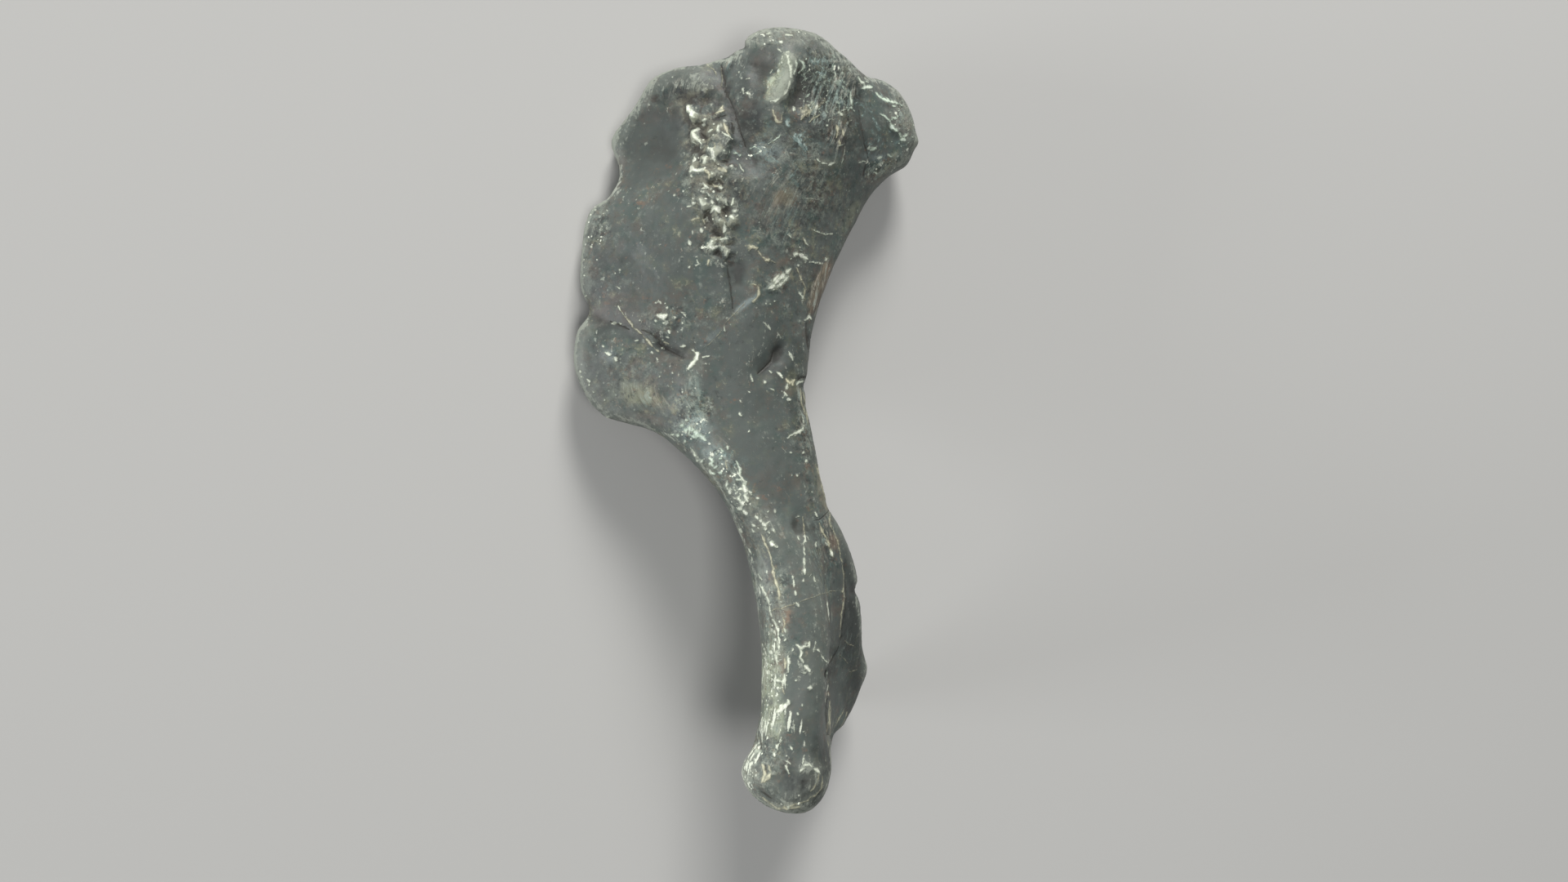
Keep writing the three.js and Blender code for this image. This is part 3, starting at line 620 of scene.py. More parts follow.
# The scar is a rough crust: knobs of two sizes, crowded together, with creases between them.
SCAR_LINE = ((852, 128), (862, 170), (866, 200), (874, 250), (882, 300))
SCAR_REACH, SCAR_EDGE, SCAR_CORE, SCAR_WANDER = 9, 5.6, 1.4, 1.8  # mm
KNOBS = ((2.4, 0.75, 51), (1.3, 0.25, 52))  # size and height in mm, seed
CREASE_SLOPE, CREASE_POWER = 1.6, 0.6
CREASE_DEPTH, LOWEST_KNOB, KNOB_VARIETY = 0.3, 0.3, 1.2  # shares of the knobs' height
scar = np.zeros(count)
who, distance, _, _ = near(outer, SCAR_LINE, SCAR_REACH)
scar[who] = step(SCAR_EDGE, SCAR_CORE, distance + SCAR_WANDER * cloud(3, 2, 50)[who])
for size, height, seed in KNOBS:
    for i in np.nonzero(scar > 0)[0]:
        gaps, middles = noise.voronoi(Vector(drawn[i]) / size + Vector((seed, 0, 0)))
        crease = min(1, CREASE_SLOPE * (gaps[1] - gaps[0])) ** CREASE_POWER
        knob = LOWEST_KNOB + KNOB_VARIETY * noise.cell(middles[0] * 7)
        relief[i] += scar[i] * height * (crease * knob - CREASE_DEPTH)

# Both ends of the bone are pitted and worn, and no face of it is quite even.
HEAD_END, CONDYLE_END, WORN_LENGTH = 84, -71, 10  # mm along the bone
HEAD_SLOPE = 0.12  # how much lower the head's worn end starts for each mm to the side
PIT_DEPTH, PITTED_ELSEWHERE = 0.28, 0.25  # mm on the ends, and the share of it elsewhere
BROAD_WAVES, FINE_WAVES = 0.14, 0.05  # mm
head = drawn[:, 1] + HEAD_SLOPE * np.abs(drawn[:, 0])
ends = np.maximum(step(HEAD_END - WORN_LENGTH, HEAD_END, head),
                  step(CONDYLE_END + WORN_LENGTH, CONDYLE_END, drawn[:, 1]))
pitted = PITTED_ELSEWHERE + (1 - PITTED_ELSEWHERE) * ends
pits = step(0.15, 0.6, cloud(1.3, 3, 54)) * step(-0.2, 0.3, cloud(9, 2, 55))
relief -= PIT_DEPTH * pits * pitted
relief += BROAD_WAVES * cloud(7, 3, 56) + FINE_WAVES * cloud(1.6, 3, 57)
finished = start + outwards * (relief * MM)[:, None]
bone.data.vertices.foreach_set("co", finished.ravel())
bone.data.update()

# Rims stand out and hollows lie back from the surface smoothed over a few millimetres. That is told
# by how far each vertex lies outside the mean of its neighbours, taken many times over.
FINE_ROUNDS, BROAD_ROUNDS = 14, 130
edges = np.empty(len(bone.data.edges) * 2, dtype=np.int32)
bone.data.edges.foreach_get("vertices", edges)
one, other = edges.reshape(-1, 2).T
neighbours = np.bincount(one, minlength=count) + np.bincount(other, minlength=count)
smoothed = finished.copy()
for done in range(1, BROAD_ROUNDS + 1):
    for axis in range(3):
        total = (np.bincount(one, smoothed[other, axis], count)
                 + np.bincount(other, smoothed[one, axis], count))
        smoothed[:, axis] = total / neighbours
    if done == FINE_ROUNDS:
        standing_out = np.einsum("ij,ij->i", finished - smoothed, outwards) / MM
rising = np.einsum("ij,ij->i", finished - smoothed, outwards) / MM

# Soft stains, laid over each other: middle, half lengths and turn of an ellipse in pixels of the
# picture, colour and cover. The darkest of them are partly painted shade, laid in valleys, hollows,
# beside steps and on faces turned from the lamps. The pale ones on the outline are partly a painted
# highlight.
# pale stains, and a painted highlight along the crest's left rim and the tuberosity's right rim
PALE_STAIN_AND_HIGHLIGHT = (0.235, 0.26, 0.225)
OLIVE = (0.25, 0.255, 0.16)
TEAL = (0.13, 0.19, 0.175)
PALE_TEAL = (0.24, 0.32, 0.28)
RUST = (0.215, 0.145, 0.10)
BLUISH = (0.24, 0.29, 0.29)
# dark stains, and painted shade in valleys, hollows and beside steps
DARK_STAIN_AND_SHADE = (0.04, 0.042, 0.041)
CREAMY = (0.36, 0.36, 0.26)
MILKY = (0.50, 0.53, 0.43)
PINKISH = (0.19, 0.16, 0.145)
SLATY = (0.150, 0.168, 0.150)
DEEP_TEAL = (0.052, 0.088, 0.076)
MEADOW = (0.33, 0.37, 0.255)
FROSTY = (0.24, 0.30, 0.29)
# painted shade: a dark grey laid where shade falls on the stone
SHADE = (0.05, 0.06, 0.054)
STAINS_SHADE_AND_HIGHLIGHT = (
    ((736, 360), (26, 50), 0, SHADE, 0.3), ((770, 400), (40, 18), 25, SHADE, 0.35),
    ((730, 486), (34, 14), 30, SHADE, 0.3), ((836, 222), (30, 12), 0, SHADE, 0.4),
    ((1084, 160), (32, 50), -10, DEEP_TEAL, 0.3), ((1026, 262), (30, 64), 20, SLATY, 0.25),
    ((985, 165), (50, 26), 0, DEEP_TEAL, 0.5), ((1056, 168), (7, 34), -12, SHADE, 0.6),
    ((1012, 110), (36, 50), 0, DEEP_TEAL, 0.6), ((985, 650), (30, 44), -10, SLATY, 0.4),
    ((800, 172), (48, 54), 0, DARK_STAIN_AND_SHADE, 0.3), ((866, 215), (24, 92), -8, OLIVE, 0.3),
    ((868, 134), (11, 9), 0, SHADE, 0.6), ((886, 262), (7, 6), 0, DARK_STAIN_AND_SHADE, 0.2),
    ((886, 226), (7, 5), 0, DARK_STAIN_AND_SHADE, 0.6), ((878, 186), (10, 16), 0, TEAL, 0.3),
    ((920, 152), (16, 26), -25, DARK_STAIN_AND_SHADE, 0.7), ((938, 72), (20, 16), 0, PINKISH, 0.45),
    ((966, 46), (56, 12), 3, MILKY, 0.5), ((953, 105), (16, 22), 12, MEADOW, 0.9),
    ((963, 88), (6, 12), 12, MILKY, 0.6), ((950, 119), (9, 6), 0, MILKY, 0.7),
    ((960, 82), (12, 20), 15, MEADOW, 0.9), ((946, 112), (9, 12), 12, CREAMY, 0.5),
    ((978, 112), (9, 24), 12, DARK_STAIN_AND_SHADE, 0.75), ((950, 142), (8, 10), 0, RUST, 0.6),
    ((992, 130), (18, 16), 0, PINKISH, 0.4), ((938, 183), (26, 10), 0, FROSTY, 0.75),
    ((904, 190), (16, 40), -6, DEEP_TEAL, 0.6), ((958, 240), (20, 15), 0, RUST, 0.45),
    ((960, 240), (16, 12), 0, OLIVE, 0.3), ((1028, 160), (12, 20), 0, RUST, 0.35),
    ((1012, 200), (22, 8), 0, CREAMY, 0.4), ((1074, 160), (20, 22), 0, DARK_STAIN_AND_SHADE, 0.3),
    ((1104, 140), (14, 42), -20, PINKISH, 0.5), ((1104, 140), (14, 42), -20, PALE_STAIN_AND_HIGHLIGHT, 0.45),
    ((1078, 193), (18, 8), 0, BLUISH, 0.5), ((1072, 218), (14, 8), -25, RUST, 0.4),
    ((1044, 262), (8, 26), 25, OLIVE, 0.4), ((756, 200), (8, 18), 20, RUST, 0.5),
    ((724, 262), (16, 16), 0, PALE_STAIN_AND_HIGHLIGHT, 0.5), ((714, 310), (7, 60), 0, PALE_STAIN_AND_HIGHLIGHT, 0.5),
    ((716, 400), (12, 20), 0, PALE_STAIN_AND_HIGHLIGHT, 0.4), ((776, 386), (30, 20), 35, PINKISH, 0.3),
    ((736, 384), (14, 14), 0, PINKISH, 0.4), ((782, 484), (32, 17), 12, OLIVE, 0.6),
    ((752, 462), (44, 34), 12, SLATY, 0.4), ((746, 434), (12, 12), 0, BLUISH, 0.5),
    ((710, 440), (8, 30), 0, PALE_STAIN_AND_HIGHLIGHT, 0.5), ((824, 430), (18, 4.5), 26, DARK_STAIN_AND_SHADE, 0.8),
    ((952, 434), (6, 12), 14, DARK_STAIN_AND_SHADE, 0.95), ((940, 449), (3.5, 12), 48, DARK_STAIN_AND_SHADE, 0.95),
    ((848, 486), (11, 44), 6, PALE_TEAL, 0.55), ((856, 508), (8, 16), 4, PALE_TEAL, 0.6),
    ((850, 524), (28, 20), 15, FROSTY, 0.75), ((780, 512), (44, 8), 12, PINKISH, 0.4),
    ((878, 562), (30, 17), 45, FROSTY, 0.65), ((906, 602), (15, 30), -28, FROSTY, 0.35),
    ((930, 650), (16, 30), -20, PALE_STAIN_AND_HIGHLIGHT, 0.4), ((955, 343), (19, 8), -38, MILKY, 0.75),
    ((958, 322), (12, 7), -30, RUST, 0.5), ((914, 372), (28, 5), -40, BLUISH, 0.7),
    ((872, 412), (22, 4), -38, BLUISH, 0.4), ((930, 310), (12, 6), 30, RUST, 0.4),
    ((980, 346), (10, 26), 0, PALE_STAIN_AND_HIGHLIGHT, 0.3), ((1006, 348), (10, 42), 20, RUST, 0.95),
    ((1002, 350), (6, 34), 20, CREAMY, 0.35), ((906, 330), (10, 14), 0, DARK_STAIN_AND_SHADE, 0.6),
    ((908, 356), (12, 14), 0, DARK_STAIN_AND_SHADE, 0.35), ((992, 424), (5, 36), 4, DARK_STAIN_AND_SHADE, 0.7),
    ((968, 468), (12, 16), 0, OLIVE, 0.5), ((984, 500), (8, 36), -8, PALE_STAIN_AND_HIGHLIGHT, 0.5),
    ((1006, 600), (9, 40), -12, OLIVE, 0.4), ((1008, 600), (8, 34), -12, RUST, 0.3),
    ((1020, 662), (8, 16), -12, RUST, 0.6), ((958, 752), (16, 13), 0, RUST, 0.95),
    ((957, 755), (12, 13), 0, RUST, 0.95), ((976, 592), (8, 8), 0, RUST, 0.35),
    ((944, 822), (16, 62), 3, MEADOW, 0.95), ((938, 720), (10, 50), -10, PALE_STAIN_AND_HIGHLIGHT, 0.6),
    ((958, 812), (5, 18), 0, RUST, 0.6), ((948, 884), (17, 34), 6, MEADOW, 0.95),
    ((916, 936), (12, 42), 8, MILKY, 0.95), ((938, 955), (8, 6), 0, CREAMY, 0.8),
    ((974, 964), (26, 18), 0, DARK_STAIN_AND_SHADE, 0.5), ((1014, 828), (6, 12), 0, DARK_STAIN_AND_SHADE, 0.6),
    ((1013, 850), (3, 4), 0, RUST, 0.8), ((962, 986), (16, 5), 0, CREAMY, 0.6),
    ((1044, 760), (14, 100), 0, DARK_STAIN_AND_SHADE, 0.3), ((1034, 888), (14, 14), 0, TEAL, 0.4),
    ((1022, 748), (5, 8), 0, RUST, 0.4),
)
# The same on the inner side, in mm of the drawing.
INNER_STAINS = (
    ((-18, 52), (10, 20), 10, CREAMY, 0.6), ((10, 72), (18, 10), 0, OLIVE, 0.5),
    ((-34, 40), (6, 24), 0, PALE_STAIN_AND_HIGHLIGHT, 0.5), ((-6, 10), (9, 16), 20, TEAL, 0.5),
    ((4, -40), (8, 20), 0, PALE_STAIN_AND_HIGHLIGHT, 0.4), ((2, -68), (12, 8), 0, CREAMY, 0.5),
    ((-28, 14), (10, 8), 0, RUST, 0.45), ((14, 48), (8, 14), 20, RUST, 0.4),
    ((-2, 42), (12, 16), 0, DARK_STAIN_AND_SHADE, 0.4), ((20, 74), (8, 10), 0, DARK_STAIN_AND_SHADE, 0.4),
)
FADES_FROM, FADES_TO = 0.45, 1.25  # shares of a patch's half lengths
ragged = 0.35 * cloud(5, 4, 61) + 0.2 * cloud(1.4, 3, 62)


def patch(side, middle, half_lengths, turned):
    """The vertices of one side and how deep each lies in a soft ragged ellipse, from 0 to 1."""
    who = side["who"]
    aside, below = side["x"][who] - middle[0], side["y"][who] - middle[1]
    cosine, sine = np.cos(radians(turned)), np.sin(radians(turned))
    out = np.hypot((aside * cosine + below * sine) / half_lengths[0],
                   (below * cosine - aside * sine) / half_lengths[1])
    return who, step(FADES_TO, FADES_FROM, out + ragged[who] * step(0.1, 0.6, out))


# one colour and cover at each vertex for stains, painted shade and painted highlight together
stains_shade_and_highlight = np.zeros((count, 4))
for side, patches in ((inner, INNER_STAINS), (outer, STAINS_SHADE_AND_HIGHLIGHT)):
    for middle, half_lengths, turned, colour, cover in patches:
        who, depth = patch(side, middle, half_lengths, turned)
        weight = cover * depth
        old = stains_shade_and_highlight[who, 3] * (1 - weight)
        total = np.maximum(old + weight, 1e-6)
        stains_shade_and_highlight[who, :3] = (stains_shade_and_highlight[who, :3] * old[:, None] + np.outer(weight, colour)) / total[:, None]
        stains_shade_and_highlight[who, 3] = old + weight

# How weathered the face is, from 0 for polished slate to 1 for flecked all over: patches again,
# each with its amount in place of colour and cover.
USUAL_WEATHERING = 0.42
WEATHERING = (
    ((800, 175), (46, 52), 15, 0.04), ((790, 290), (50, 46), 0, 0.3), ((830, 290), (30, 60), 0, 0.22),
    ((820, 345), (50, 34), 0, 0.3), ((840, 105), (50, 18), -12, 0.4), ((868, 215), (34, 96), -8, 0.8),
    ((728, 275), (20, 34), 10, 0.85), ((716, 350), (12, 50), 0, 0.7),
    ((758, 466), (56, 52), 20, 0.42), ((812, 392), (26, 22), 0, 0.75),
    ((930, 440), (56, 60), 0, 0.08), ((925, 520), (52, 56), 0, 0.1),
    ((950, 590), (44, 44), -15, 0.14), ((846, 512), (26, 34), 10, 1.0),
    ((882, 575), (22, 40), -35, 0.9), ((920, 630), (20, 44), -25, 0.85),
    ((924, 72), (20, 26), 0, 0.3), ((956, 96), (18, 36), 10, 0.95), ((955, 344), (20, 12), -38, 0.9),
    ((960, 46), (60, 12), 0, 1.0), ((1010, 110), (40, 60), 0, 1.0), ((960, 180), (60, 30), 0, 0.8),
    ((960, 250), (60, 60), 0, 0.65), ((1082, 160), (24, 40), 0, 0.45),
    ((1108, 140), (14, 50), -20, 1.0), ((1080, 205), (34, 14), -20, 0.9),
    ((908, 152), (18, 34), -20, 0.7), ((902, 205), (22, 44), 0, 0.85), ((908, 340), (14, 26), 0, 0.1),
    ((985, 520), (9, 60), -5, 0.8), ((1000, 620), (14, 40), -15, 0.6),
    ((960, 670), (20, 60), -8, 0.35), ((1002, 700), (20, 46), 0, 0.4), ((948, 790), (18, 90), 3, 1.0),
    ((992, 780), (26, 60), 0, 0.35), ((988, 860), (26, 60), 0, 0.12), ((990, 920), (26, 40), 0, 0.12),
    ((928, 930), (26, 44), 8, 1.0), ((970, 968), (32, 16), 0, 0.35), ((1042, 720), (14, 90), 0, 0.12),
    ((1036, 860), (18, 40), 0, 0.3),
)
weathered = np.full(count, USUAL_WEATHERING)
for middle, half_lengths, turned, amount in WEATHERING:
    who, depth = patch(outer, middle, half_lengths, turned)
    weathered[who] += (amount - weathered[who]) * depth
weathered = np.clip(weathered + 0.25 * cloud(11, 2, 63), 0, 1)

# Where the stone as a whole is darker or paler, partly its own tone and partly painted shade and
# painted light on hollows, faces turned from the lamps and rims: the same, with how many times its
# usual brightness.
TONES_WITH_SHADE_AND_LIGHT = (
    ((990, 48), (50, 16), 0, 0.85), ((1012, 100), (40, 44), 0, 0.5), ((838, 104), (52, 18), -12, 0.8),
    ((922, 106), (22, 20), 0, 0.65), ((866, 108), (34, 22), 0, 0.65),
    ((888, 150), (22, 40), -10, 0.55), ((900, 205), (24, 46), 0, 0.6), ((985, 160), (50, 34), 0, 0.5),
    ((1040, 148), (22, 40), 0, 0.65), ((930, 180), (30, 50), 0, 0.75), ((800, 180), (50, 66), 0, 0.8),
    ((954, 104), (16, 28), 10, 1.45), ((1080, 196), (30, 30), 0, 1.3),
    ((1000, 215), (40, 24), 0, 0.8), ((900, 240), (22, 14), 0, 0.8), ((800, 492), (40, 30), 20, 1.15),
    ((848, 486), (20, 44), 0, 1.2), ((960, 456), (16, 12), 0, 0.75), ((980, 480), (14, 70), 0, 0.75),
    ((982, 628), (30, 40), -15, 1.25), ((948, 800), (22, 130), 0, 1.25),
    ((985, 870), (24, 50), 0, 1.15), ((916, 940), (16, 50), 0, 1.6), ((1004, 946), (20, 42), 0, 0.45),
    ((975, 984), (44, 16), 0, 0.4), ((1018, 800), (14, 100), 0, 0.85),
    ((1048, 790), (18, 120), 0, 0.6), ((1042, 700), (10, 56), -8, 0.8),
    ((970, 950), (20, 20), 0, 0.8), ((1000, 372), (14, 50), 0, 0.7), ((864, 542), (46, 20), 45, 1.3),
    ((905, 600), (12, 30), -25, 1.2), ((735, 360), (34, 70), 0, 0.8), ((800, 380), (60, 50), 0, 0.85),
    ((770, 300), (60, 50), 0, 0.9), ((730, 460), (30, 44), 0, 0.8), ((830, 120), (30, 40), 0, 0.8),
    ((930, 650), (22, 30), 0, 0.85), ((900, 150), (24, 30), 0, 0.8), ((1010, 148), (26, 24), 0, 0.75),
)
tone_with_shade_and_light = np.ones(count)
for middle, half_lengths, turned, amount in TONES_WITH_SHADE_AND_LIGHT:
    who, depth = patch(outer, middle, half_lengths, turned)
    tone_with_shade_and_light[who] *= 1 + (amount - 1) * depth

# Where white crystals are strewn over the stone, as dots and as streaks along the bone: the same,
# with how many there are.
DOTTED = (
    ((850, 525), (28, 19), 15, 0.8), ((880, 560), (26, 20), 45, 0.6),
    ((904, 600), (14, 32), -22, 0.85), ((932, 644), (14, 26), -20, 0.5),
    ((916, 938), (14, 46), 8, 1.3), ((946, 826), (18, 74), 3, 0.95), ((938, 720), (12, 50), -8, 0.35),
    ((1104, 150), (16, 50), -10, 0.3), ((1012, 106), (34, 50), 0, 0.25),
    ((960, 46), (56, 12), 0, 0.4), ((872, 240), (30, 90), -8, 0.4), ((812, 400), (28, 34), 0, 0.2),
    ((742, 438), (24, 24), 0, 0.2), ((726, 280), (22, 60), 0, 0.35), ((1076, 200), (30, 14), 0, 0.6),
    ((925, 186), (36, 16), 0, 0.45), ((940, 985), (50, 12), 0, 0.4), ((842, 488), (12, 30), 0, 0.4),
)
STREAKED = (
    ((951, 884), (15, 28), 10, 1.25), ((938, 896), (12, 20), 10, 1.25),
    ((946, 820), (15, 58), 3, 0.95), ((916, 934), (11, 46), 5, 1.0),
    ((906, 596), (11, 30), -15, 0.35), ((934, 716), (8, 50), -8, 0.35),
    ((1012, 104), (34, 48), 0, 0.35), ((970, 900), (20, 30), 0, 0.3),
)


def strongest(patches):
    """For each vertex, the largest of the amounts that patches of the outer side give it."""
    field = np.zeros(count)
    for middle, half_lengths, turned, amount in patches:
        who, depth = patch(outer, middle, half_lengths, turned)
        field[who] = np.maximum(field[who], amount * depth)
    return field


dotted = strongest(DOTTED)
streaked = strongest(STREAKED)

# Where the stone is frosted and its calcite has a tinge of blue.
FROSTED = (
    ((1080, 150), (50, 66), 0, 1), ((850, 526), (32, 22), 15, 1), ((886, 566), (34, 24), 45, 1),
    ((925, 186), (40, 16), 0, 1), ((1010, 100), (40, 50), 0, 1), ((970, 180), (50, 50), 0, 1),
)
frosted = strongest(FROSTED)

# Where its fibres lie bare, from 0 for none to 1 for closely packed. On the hidden faces they lie
# bare here and there.
THREADS = (
    ((1016, 104), (34, 46), 0, 1.0), ((992, 134), (20, 18), 20, 0.9), ((1024, 166), (16, 30), 0, 0.8),
    ((960, 46), (60, 10), 0, 0.6), ((1106, 140), (14, 46), -20, 0.6), ((942, 800), (15, 84), 3, 0.9),
    ((945, 880), (18, 32), 10, 1.0), ((918, 942), (12, 34), 8, 0.8), ((985, 520), (8, 60), -5, 0.6),
    ((1006, 350), (10, 46), 20, 1.0), ((786, 486), (32, 16), 12, 0.6), ((848, 490), (14, 46), 5, 0.6),
    ((768, 135), (14, 54), 32, 0.4), ((752, 204), (7, 30), -15, 0.5), ((720, 300), (9, 60), 8, 0.3),
    ((1012, 650), (14, 24), -15, 0.7), ((1040, 790), (14, 20), 0, 0.4),
    ((1028, 884), (10, 20), 30, 0.5), ((900, 74), (24, 8), -10, 0.7), ((960, 250), (50, 50), 0, 0.35),
    ((890, 560), (14, 40), -35, 0.25), ((930, 690), (10, 50), -12, 0.3),
    ((1006, 700), (16, 50), 0, 0.4), ((850, 105), (40, 16), -10, 0.45),
)
threads = strongest(THREADS)
threads[~seen] = np.clip(0.9 * cloud(14, 2, 64)[~seen], 0, 1)

# Rims that are worn to the bare bone and partly a painted highlight: half width in mm and points in
# pixels, along the outline.
RIM_FACING = 0.8  # a rim's normal points to the camera, or away from it, by less than this
RIM_REACH = 3  # half widths
RIMS_WORN_AND_LIT = (
    (0.63, (905, 72), (912, 60), (917, 46), (926, 40), (945, 37), (975, 36), (1000, 42)),
    (0.56, (1000, 42), (1018, 58), (1035, 76), (1046, 90)),
    (0.35, (795, 98), (815, 87), (840, 80), (862, 75)), (0.42, (862, 75), (885, 75), (905, 72)),
    (0.49, (795, 98), (785, 120), (772, 145), (755, 165), (749, 178)),
    (0.42, (749, 178), (755, 200), (761, 215), (757, 232)),
    (0.49, (757, 232), (742, 244), (727, 254)),
    (0.32, (727, 254), (718, 275), (712, 310), (711, 340), (712, 365)),
    (0.35, (722, 390), (710, 402), (704, 425), (705, 445), (712, 468), (722, 485)),
    (0.21, (722, 485), (745, 505), (790, 520), (830, 540)),
    (0.35, (1060, 96), (1085, 102), (1105, 120)),
    (0.35, (1105, 120), (1116, 145), (1123, 172), (1112, 192), (1090, 211)),
    (0.21, (846, 552), (875, 585), (895, 620)),
    (0.35, (895, 620), (912, 665), (925, 700), (928, 740), (930, 790)),
    (0.42, (912, 905), (907, 930), (908, 955)),
    (0.49, (908, 955), (920, 974), (945, 990), (975, 997), (1002, 990)),
    (0.21, (1016, 900), (1019, 940), (1008, 975)),
    (0.17, (1045, 690), (1052, 760), (1061, 815), (1050, 865), (1030, 902)),
)
turned_away = {**outer, "who": np.nonzero(np.abs(facing) < RIM_FACING)[0]}
worn_and_lit_rims = np.zeros(count)
for half_width, *points in RIMS_WORN_AND_LIT:
    who, distance, _, _ = near(turned_away, points, RIM_REACH * half_width)
    worn_and_lit_rims[who] = np.maximum(worn_and_lit_rims[who], step(2.2, 0.4, distance / half_width))

# The bone's fibres run along it: places across it are told from its middle line, and those along
# it are shortened, so that a pattern on them is drawn out lengthwise.
FIBRE_STRETCH = 0.16
SLICES, SLICE_HALF_HEIGHT = 24, 5  # their number, and mm
levels = np.linspace(drawn[:, 1].min(), drawn[:, 1].max(), SLICES)
middles = [drawn[np.abs(drawn[:, 1] - level) < SLICE_HALF_HEIGHT, 0].mean() for level in levels]
fibres = np.stack([drawn[:, 0] - np.interp(drawn[:, 1], levels, middles),
                   drawn[:, 1] * FIBRE_STRETCH, drawn[:, 2]], axis=1)

# What the material reads from the mesh: for one, three or four columns, the kind of attribute that
# keeps them and what its values are called.
KINDS = {1: ("FLOAT", "value"), 3: ("FLOAT_VECTOR", "vector"), 4: ("FLOAT_COLOR", "color")}


def keep(name, values):
    """Keeps a number, place or colour for each vertex with the mesh, for the material to read."""
    kind, member = KINDS[values.shape[1] if values.ndim > 1 else 1]
    attribute = bone.data.attributes.new(name, kind, "POINT")
    attribute.data.foreach_set(member, values.ravel())


for name, field in (("calcite", calcite), ("cream", cream), ("cracks_and_step_shade", cracks_and_step_shade)):
    keep(name, field[:, :3])
    keep(name + " edge", field[:, 3:])
for name, values in (
        ("standing_out", standing_out), ("rising", rising), ("worn_and_lit_rims", worn_and_lit_rims), ("scar", scar),
        ("ends", ends), ("stains_shade_and_highlight", stains_shade_and_highlight), ("weathered", weathered), ("threads", threads),
        ("tone_with_shade_and_light", tone_with_shade_and_light), ("dotted", dotted), ("streaked", streaked), ("frosted", frosted),
        ("fibres", fibres), ("hidden", 1 - seen.astype(float))):
    keep(name, values)


class Paint:
    """An output of the material's nodes. Arithmetic on it adds Math nodes."""

    nodes = links = None

    def __init__(self, socket):
        self.socket = socket

    @classmethod
    def add(cls, kind, settings, sockets, result=0):
        """Adds any node: its settings first, then the values or links of its sockets."""
        node = cls.nodes.new(kind)
        for name, value in settings.items():
            setattr(node, name, value)
        for key, value in sockets.items():
            if isinstance(value, cls):
                cls.links.new(value.socket, node.inputs[key])
            else:
                node.inputs[key].default_value = value
        return cls(node.outputs[result])

    def math(self, operation, other=0.0, swapped=False):
        """A Math node on this output and another output or number, or on the two swapped."""
        first, second = (other, self) if swapped else (self, other)
        return self.add("ShaderNodeMath", {"operation": operation}, {0: first, 1: second})

    def __add__(self, other):
        return self.math("ADD", other)

    def __sub__(self, other):
        return self.math("SUBTRACT", other)

    def __mul__(self, other):
        return self.math("MULTIPLY", other)

    def __rsub__(self, other):
        return self.math("SUBTRACT", other, swapped=True)

    __radd__ = __add__
    __rmul__ = __mul__

    def rise(self, low, high):
        """0 at low and 1 at high, or the other way round, with a smooth step between."""
        ends_of_step = {"From Min": min(low, high), "From Max": max(low, high)}
        target = {"To Min": float(low > high), "To Max": float(low < high)}
        return self.add("ShaderNodeMapRange", {"interpolation_type": "SMOOTHSTEP"},
                        {"Value": self, **ends_of_step, **target})


def kept(name, output="Fac"):
    """What the mesh keeps under a name."""
    return Paint.add("ShaderNodeAttribute", {"attribute_name": name}, {}, output)


def grain(place, size, detail=4.0, roughness=0.6, distortion=0.0):
    """Noise from 0 to 1 with lumps of a size in mm."""
    return Paint.add("ShaderNodeTexNoise", {}, {
        "Vector": place, "Scale": 1 / size, "Detail": detail, "Roughness": roughness,
        "Distortion": distortion})


def mix(base, top, cover, mode="MIX"):
    """Lays a colour over another."""
    settings = {"data_type": "RGBA", "blend_type": mode, "clamp_factor": True}
    return Paint.add("ShaderNodeMix", settings, {0: cover, 6: base, 7: top}, 2)


def opaque(red, green, blue):
    """A colour as the sockets want it."""
    return (red, green, blue, 1)


stone = bpy.data.materials.new("fossil bone")
stone.use_nodes = True
Paint.nodes, Paint.links = stone.node_tree.nodes, stone.node_tree.links
shader = Paint.nodes["Principled BSDF"]
metres = Paint.add("ShaderNodeTexCoord", {}, {}, "Object")
place = Paint.add("ShaderNodeVectorMath", {"operation": "SCALE"}, {0: metres, "Scale": 1 / MM})
along_bone = kept("fibres", "Vector")
weathering = kept("weathered")
scar_cover = kept("scar")
outstanding = kept("standing_out")
raised = kept("rising")
hidden = kept("hidden")
broad = grain(place, 16, 3)
blotch = grain(place, 4.5, 5, 0.62)
mottle = grain(place, 1.7, 6, 0.7)
flecks = grain(place, 0.8, 4, 0.65)
fine = grain(place, 0.42, 3, 0.6)
strands = grain(along_bone, 0.9, 5, 0.65, 0.8)
mottling, flecking, fining = mottle - 0.5, flecks - 0.5, fine - 0.5
SPOT_EDGE = 0.08  # a share of a spot's cell


def strewn(where, size, amount, raggedness=1.6, radius=0.2):
    """Small ragged spots in cells of a size in mm, with a radius that is a share of it. Each cell's
    random colour, as a grey, is its chance of a spot, so there are more of them with the amount."""
    gap = Paint.add("ShaderNodeTexVoronoi", {"feature": "F1"},
                    {"Vector": where, "Scale": 1 / size, "Randomness": 1.0}, "Distance")
    chance = Paint(gap.socket.node.outputs["Color"])
    spots = (gap + flecking * raggedness).rise(radius + SPOT_EDGE, radius - SPOT_EDGE)
    return spots * (chance + amount).rise(0.84, 0.96)


def parts_of(vector):
    """The three numbers of a place or colour."""
    split = Paint.add("ShaderNodeSeparateXYZ", {}, {0: vector}, "X")
    return [Paint(split.socket.node.outputs[axis]) for axis in "XYZ"]


UNLIKE_NUMBERS = (0.0005, 0.004)  # variance of the marks' own numbers among a face's corners


